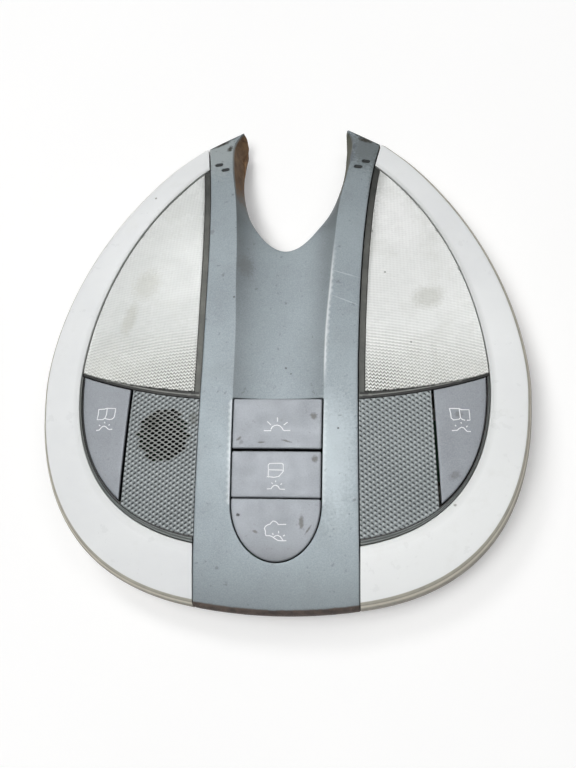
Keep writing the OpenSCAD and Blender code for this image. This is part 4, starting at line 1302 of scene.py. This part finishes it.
# Lines of each print, as x and y in turn
ICONS = {
    "dome": [
        (-5.2, -36.3, -2.4, -36.3),
        (-2.4, -35.7, -1.9, -34.8, -1.0, -34.2, 0.1, -34.0, 1.2, -34.3, 2.0, -35.0, 2.6, -35.9, 2.9, -36.2,
         5.4, -36.2),
        (-3.9, -32.6, -2.5, -33.9),
        (0.1, -31.0, 0.2, -32.5),
        (4.2, -32.9, 2.9, -33.9)],
    "door": [
        (-3.0, -54.9, -3.1, -50.1, -2.6, -49.5, 2.4, -49.4, 3.0, -49.9, 3.1, -52.5, 1.3, -54.6, -0.7,
         -55.0, -3.5, -54.7),
        (-3.1, -52.0, 2.6, -52.1, 3.1, -52.3),
        (-3.4, -59.6, -1.7, -59.5, -1.5, -59.0, -0.8, -58.3, 0.0, -58.1, 1.0, -58.5, 1.5, -59.3, 1.9,
         -59.7, 3.7, -59.7),
        (0.0, -56.4, 0.0, -56.8),
        (2.4, -57.5, 2.1, -57.8),
        (-1.6, -57.2, -1.3, -57.5)],
    "rear": [
        (4.4, -73.4, 1.3, -73.5, 0.8, -72.8, 0.0, -72.3, -0.8, -72.2, -1.6, -72.8, -2.0, -73.4, -3.0,
         -73.7, -3.9, -74.3, -4.3, -75.1, -3.9, -76.1, -3.9, -77.2, -3.6, -77.9, -2.1, -77.9, -1.0, -78.3,
         0.0, -79.0, 1.2, -79.7, 3.0, -79.8, 4.5, -79.7),
        (-0.6, -78.5, 0.2, -77.9, 1.2, -77.7, 2.2, -78.2, 2.9, -79.1, 3.2, -79.7),
        (1.4, -76.1, 1.5, -76.8),
        (-1.0, -77.0, -0.7, -77.5),
        (3.9, -77.6, 3.4, -77.9)],
    "left": [
        (-76.6, -26.3, -74.0, -26.2, -73.0, -25.9, -69.1, -26.1, -69.1, -27.4, -69.5, -29.8, -70.3, -30.5,
         -71.6, -30.7, -72.9, -30.4, -73.8, -30.1, -74.4, -30.6, -77.1, -30.6, -76.7, -28.4, -76.6, -26.3),
        (-72.8, -25.9, -73.0, -28.5, -73.6, -30.1),
        (-77.1, -35.1, -75.9, -35.0, -75.3, -34.3, -74.7, -33.7, -73.8, -33.4, -73.0, -33.7, -72.0, -34.6,
         -71.4, -34.9, -70.2, -34.8),
        (-73.7, -31.7, -73.5, -32.1),
        (-76.0, -32.9, -75.6, -33.2),
        (-71.4, -32.8, -71.7, -33.1)],
    "right": [
        (69.2, -25.8, 70.9, -25.7, 73.1, -25.7, 74.0, -26.1, 77.0, -26.0, 77.2, -27.9, 77.4, -30.2, 76.3,
         -30.3),
        (75.3, -30.3, 74.3, -30.0, 73.6, -29.4, 73.0, -30.0, 70.9, -30.4, 69.9, -29.6, 69.7, -27.8, 69.2,
         -25.8),
        (73.1, -25.7, 73.3, -27.3, 73.6, -29.4),
        (70.3, -34.7, 72.3, -34.5, 73.0, -33.8, 74.0, -33.2, 74.9, -33.4, 75.7, -34.3, 76.3, -34.8, 77.6,
         -34.8),
        (73.8, -31.3, 74.0, -31.6),
        (76.3, -32.6, 76.0, -33.0),
        (71.5, -32.5, 71.8, -32.8)],
}


def proud(x, y):
    return crown(x, y) + 0.2


def sunk(x, y):
    return crown(x, y) - 0.3


def build_buttons():
    rows = {
        "dome": (row_loop(DOME_Y - 0.4, DOME_L + 0.4), (0, DOME_Y + DOME_L / 2), proud),
        "door": (row_loop(DOOR_Y, DOOR_L + 0.3), (0, DOOR_Y + DOOR_L / 2), proud),
        "rear": (round_loop(0, REAR_Y + REAR_L, 0.8), (0, REAR_Y + REAR_L / 2), proud),
        "right": (rounded(side_button_loop(), 0.8), (INNER_W - 13.2, STACK_Y - 12), sunk),
    }
    # marks the cap walls below the face, which the paint darkens as painted shade
    deep = {"deep": lambda x, y, z: (crown(x, y) - z > 1.4).astype(float)}
    for key, (loop, at, top) in rows.items():
        form = stem(cap_form(loop, top), at, top)
        form.make(key + "_key_cap", key + "_key", button_mat, [key + "_button"], "button_paint",
                  attributes=deep)
        if key == "right":
            form.mirrored().make("left_key_cap", "left_key", button_mat, ["left_button"], "button_paint",
                                 attributes=deep)
    for key, lines in ICONS.items():
        form = Form()
        top = sunk if key in ("left", "right") else proud
        for line in lines:
            ribbon(form, line, top)
        form.make(key + "_key_print", key + "_key", icon_mat, slot="button_paint")


def both(form, name, mat, node, slot, **more):
    for side, f in (("right_", form), ("left_", form.mirrored())):
        f.make(side + name, "lamp_unit", mat, [side + node] if node else (), slot, **more)


# painted shade in the pits, painted highlights below them, and near-black walls in the holes
DIMPLES = {"pit_shade": lambda x, y, z: pit_shape(x, y) * np.clip(0.6 + 0.9 * pit_slant(x, y), 0, 1),
           "glint": pit_highlight,
           "patch": lambda x, y, z: pierced(x, y) * (x < 0),
           "hole": lambda x, y, z: pierced(x, y) * (x < 0) * (z < crown(x, y) - 0.99)}

build_bezel()
for side, word in ((1, "right"), (-1, "left")):
    ring, band = build_ring(side)
    ring.make(word + "_opal_ring", "lamp_unit", opal, [word + "_ring"], "opal_plastic",
              attributes={"band": lambda x, y, z, band=band: band})
both(build_lens(), "prism_lens", lens_mat, "lens", "clear_plastic", angle=70,
     attributes={"groove": lambda x, y, z: prism(x, y), "edge": lens_edge})
both(build_strip(), "shield_strip", strip_mat, "light_shield", "shield_plastic",
     attributes={"strip_shade": strip_painted_shade, "painted_highlight": strip_highlight})
build_grille(False).make("right_weave_grille", "lamp_unit", grille_mat, ["right_grille"], "grille_plastic",
                         angle=70, attributes=DIMPLES)
build_grille(True).mirrored().make("left_weave_grille", "lamp_unit", grille_mat, ["left_grille"],
                                   "grille_plastic", angle=70, attributes=DIMPLES)
lip, tone = build_lip()
both(lip, "grille_lip", lip_mat, None, "grille_plastic", attributes={"tone": lambda x, y, z: tone})
build_buttons()

DRESS = {
    "housing_plastic": housing_mat, "ivory_plastic": housing_mat, "dark_plastic": black_mat,
    "board_laminate": board_mat, "mirror_metal": steel_mat, "bulb_glass": bulb_mat,
    "contact_metal": brass_mat, "spring_steel": steel_mat, "screw_steel": steel_mat, "rubber_boot": boot_mat,
}
for entry in frame["record"]["subparts"]:
    mat = boot_mat if entry["node"] == "microphone" else DRESS.get(entry["material_slot"])
    if mat:
        data = frame["nodes"][entry["node"]].data
        data.materials.clear()
        data.materials.append(mat)
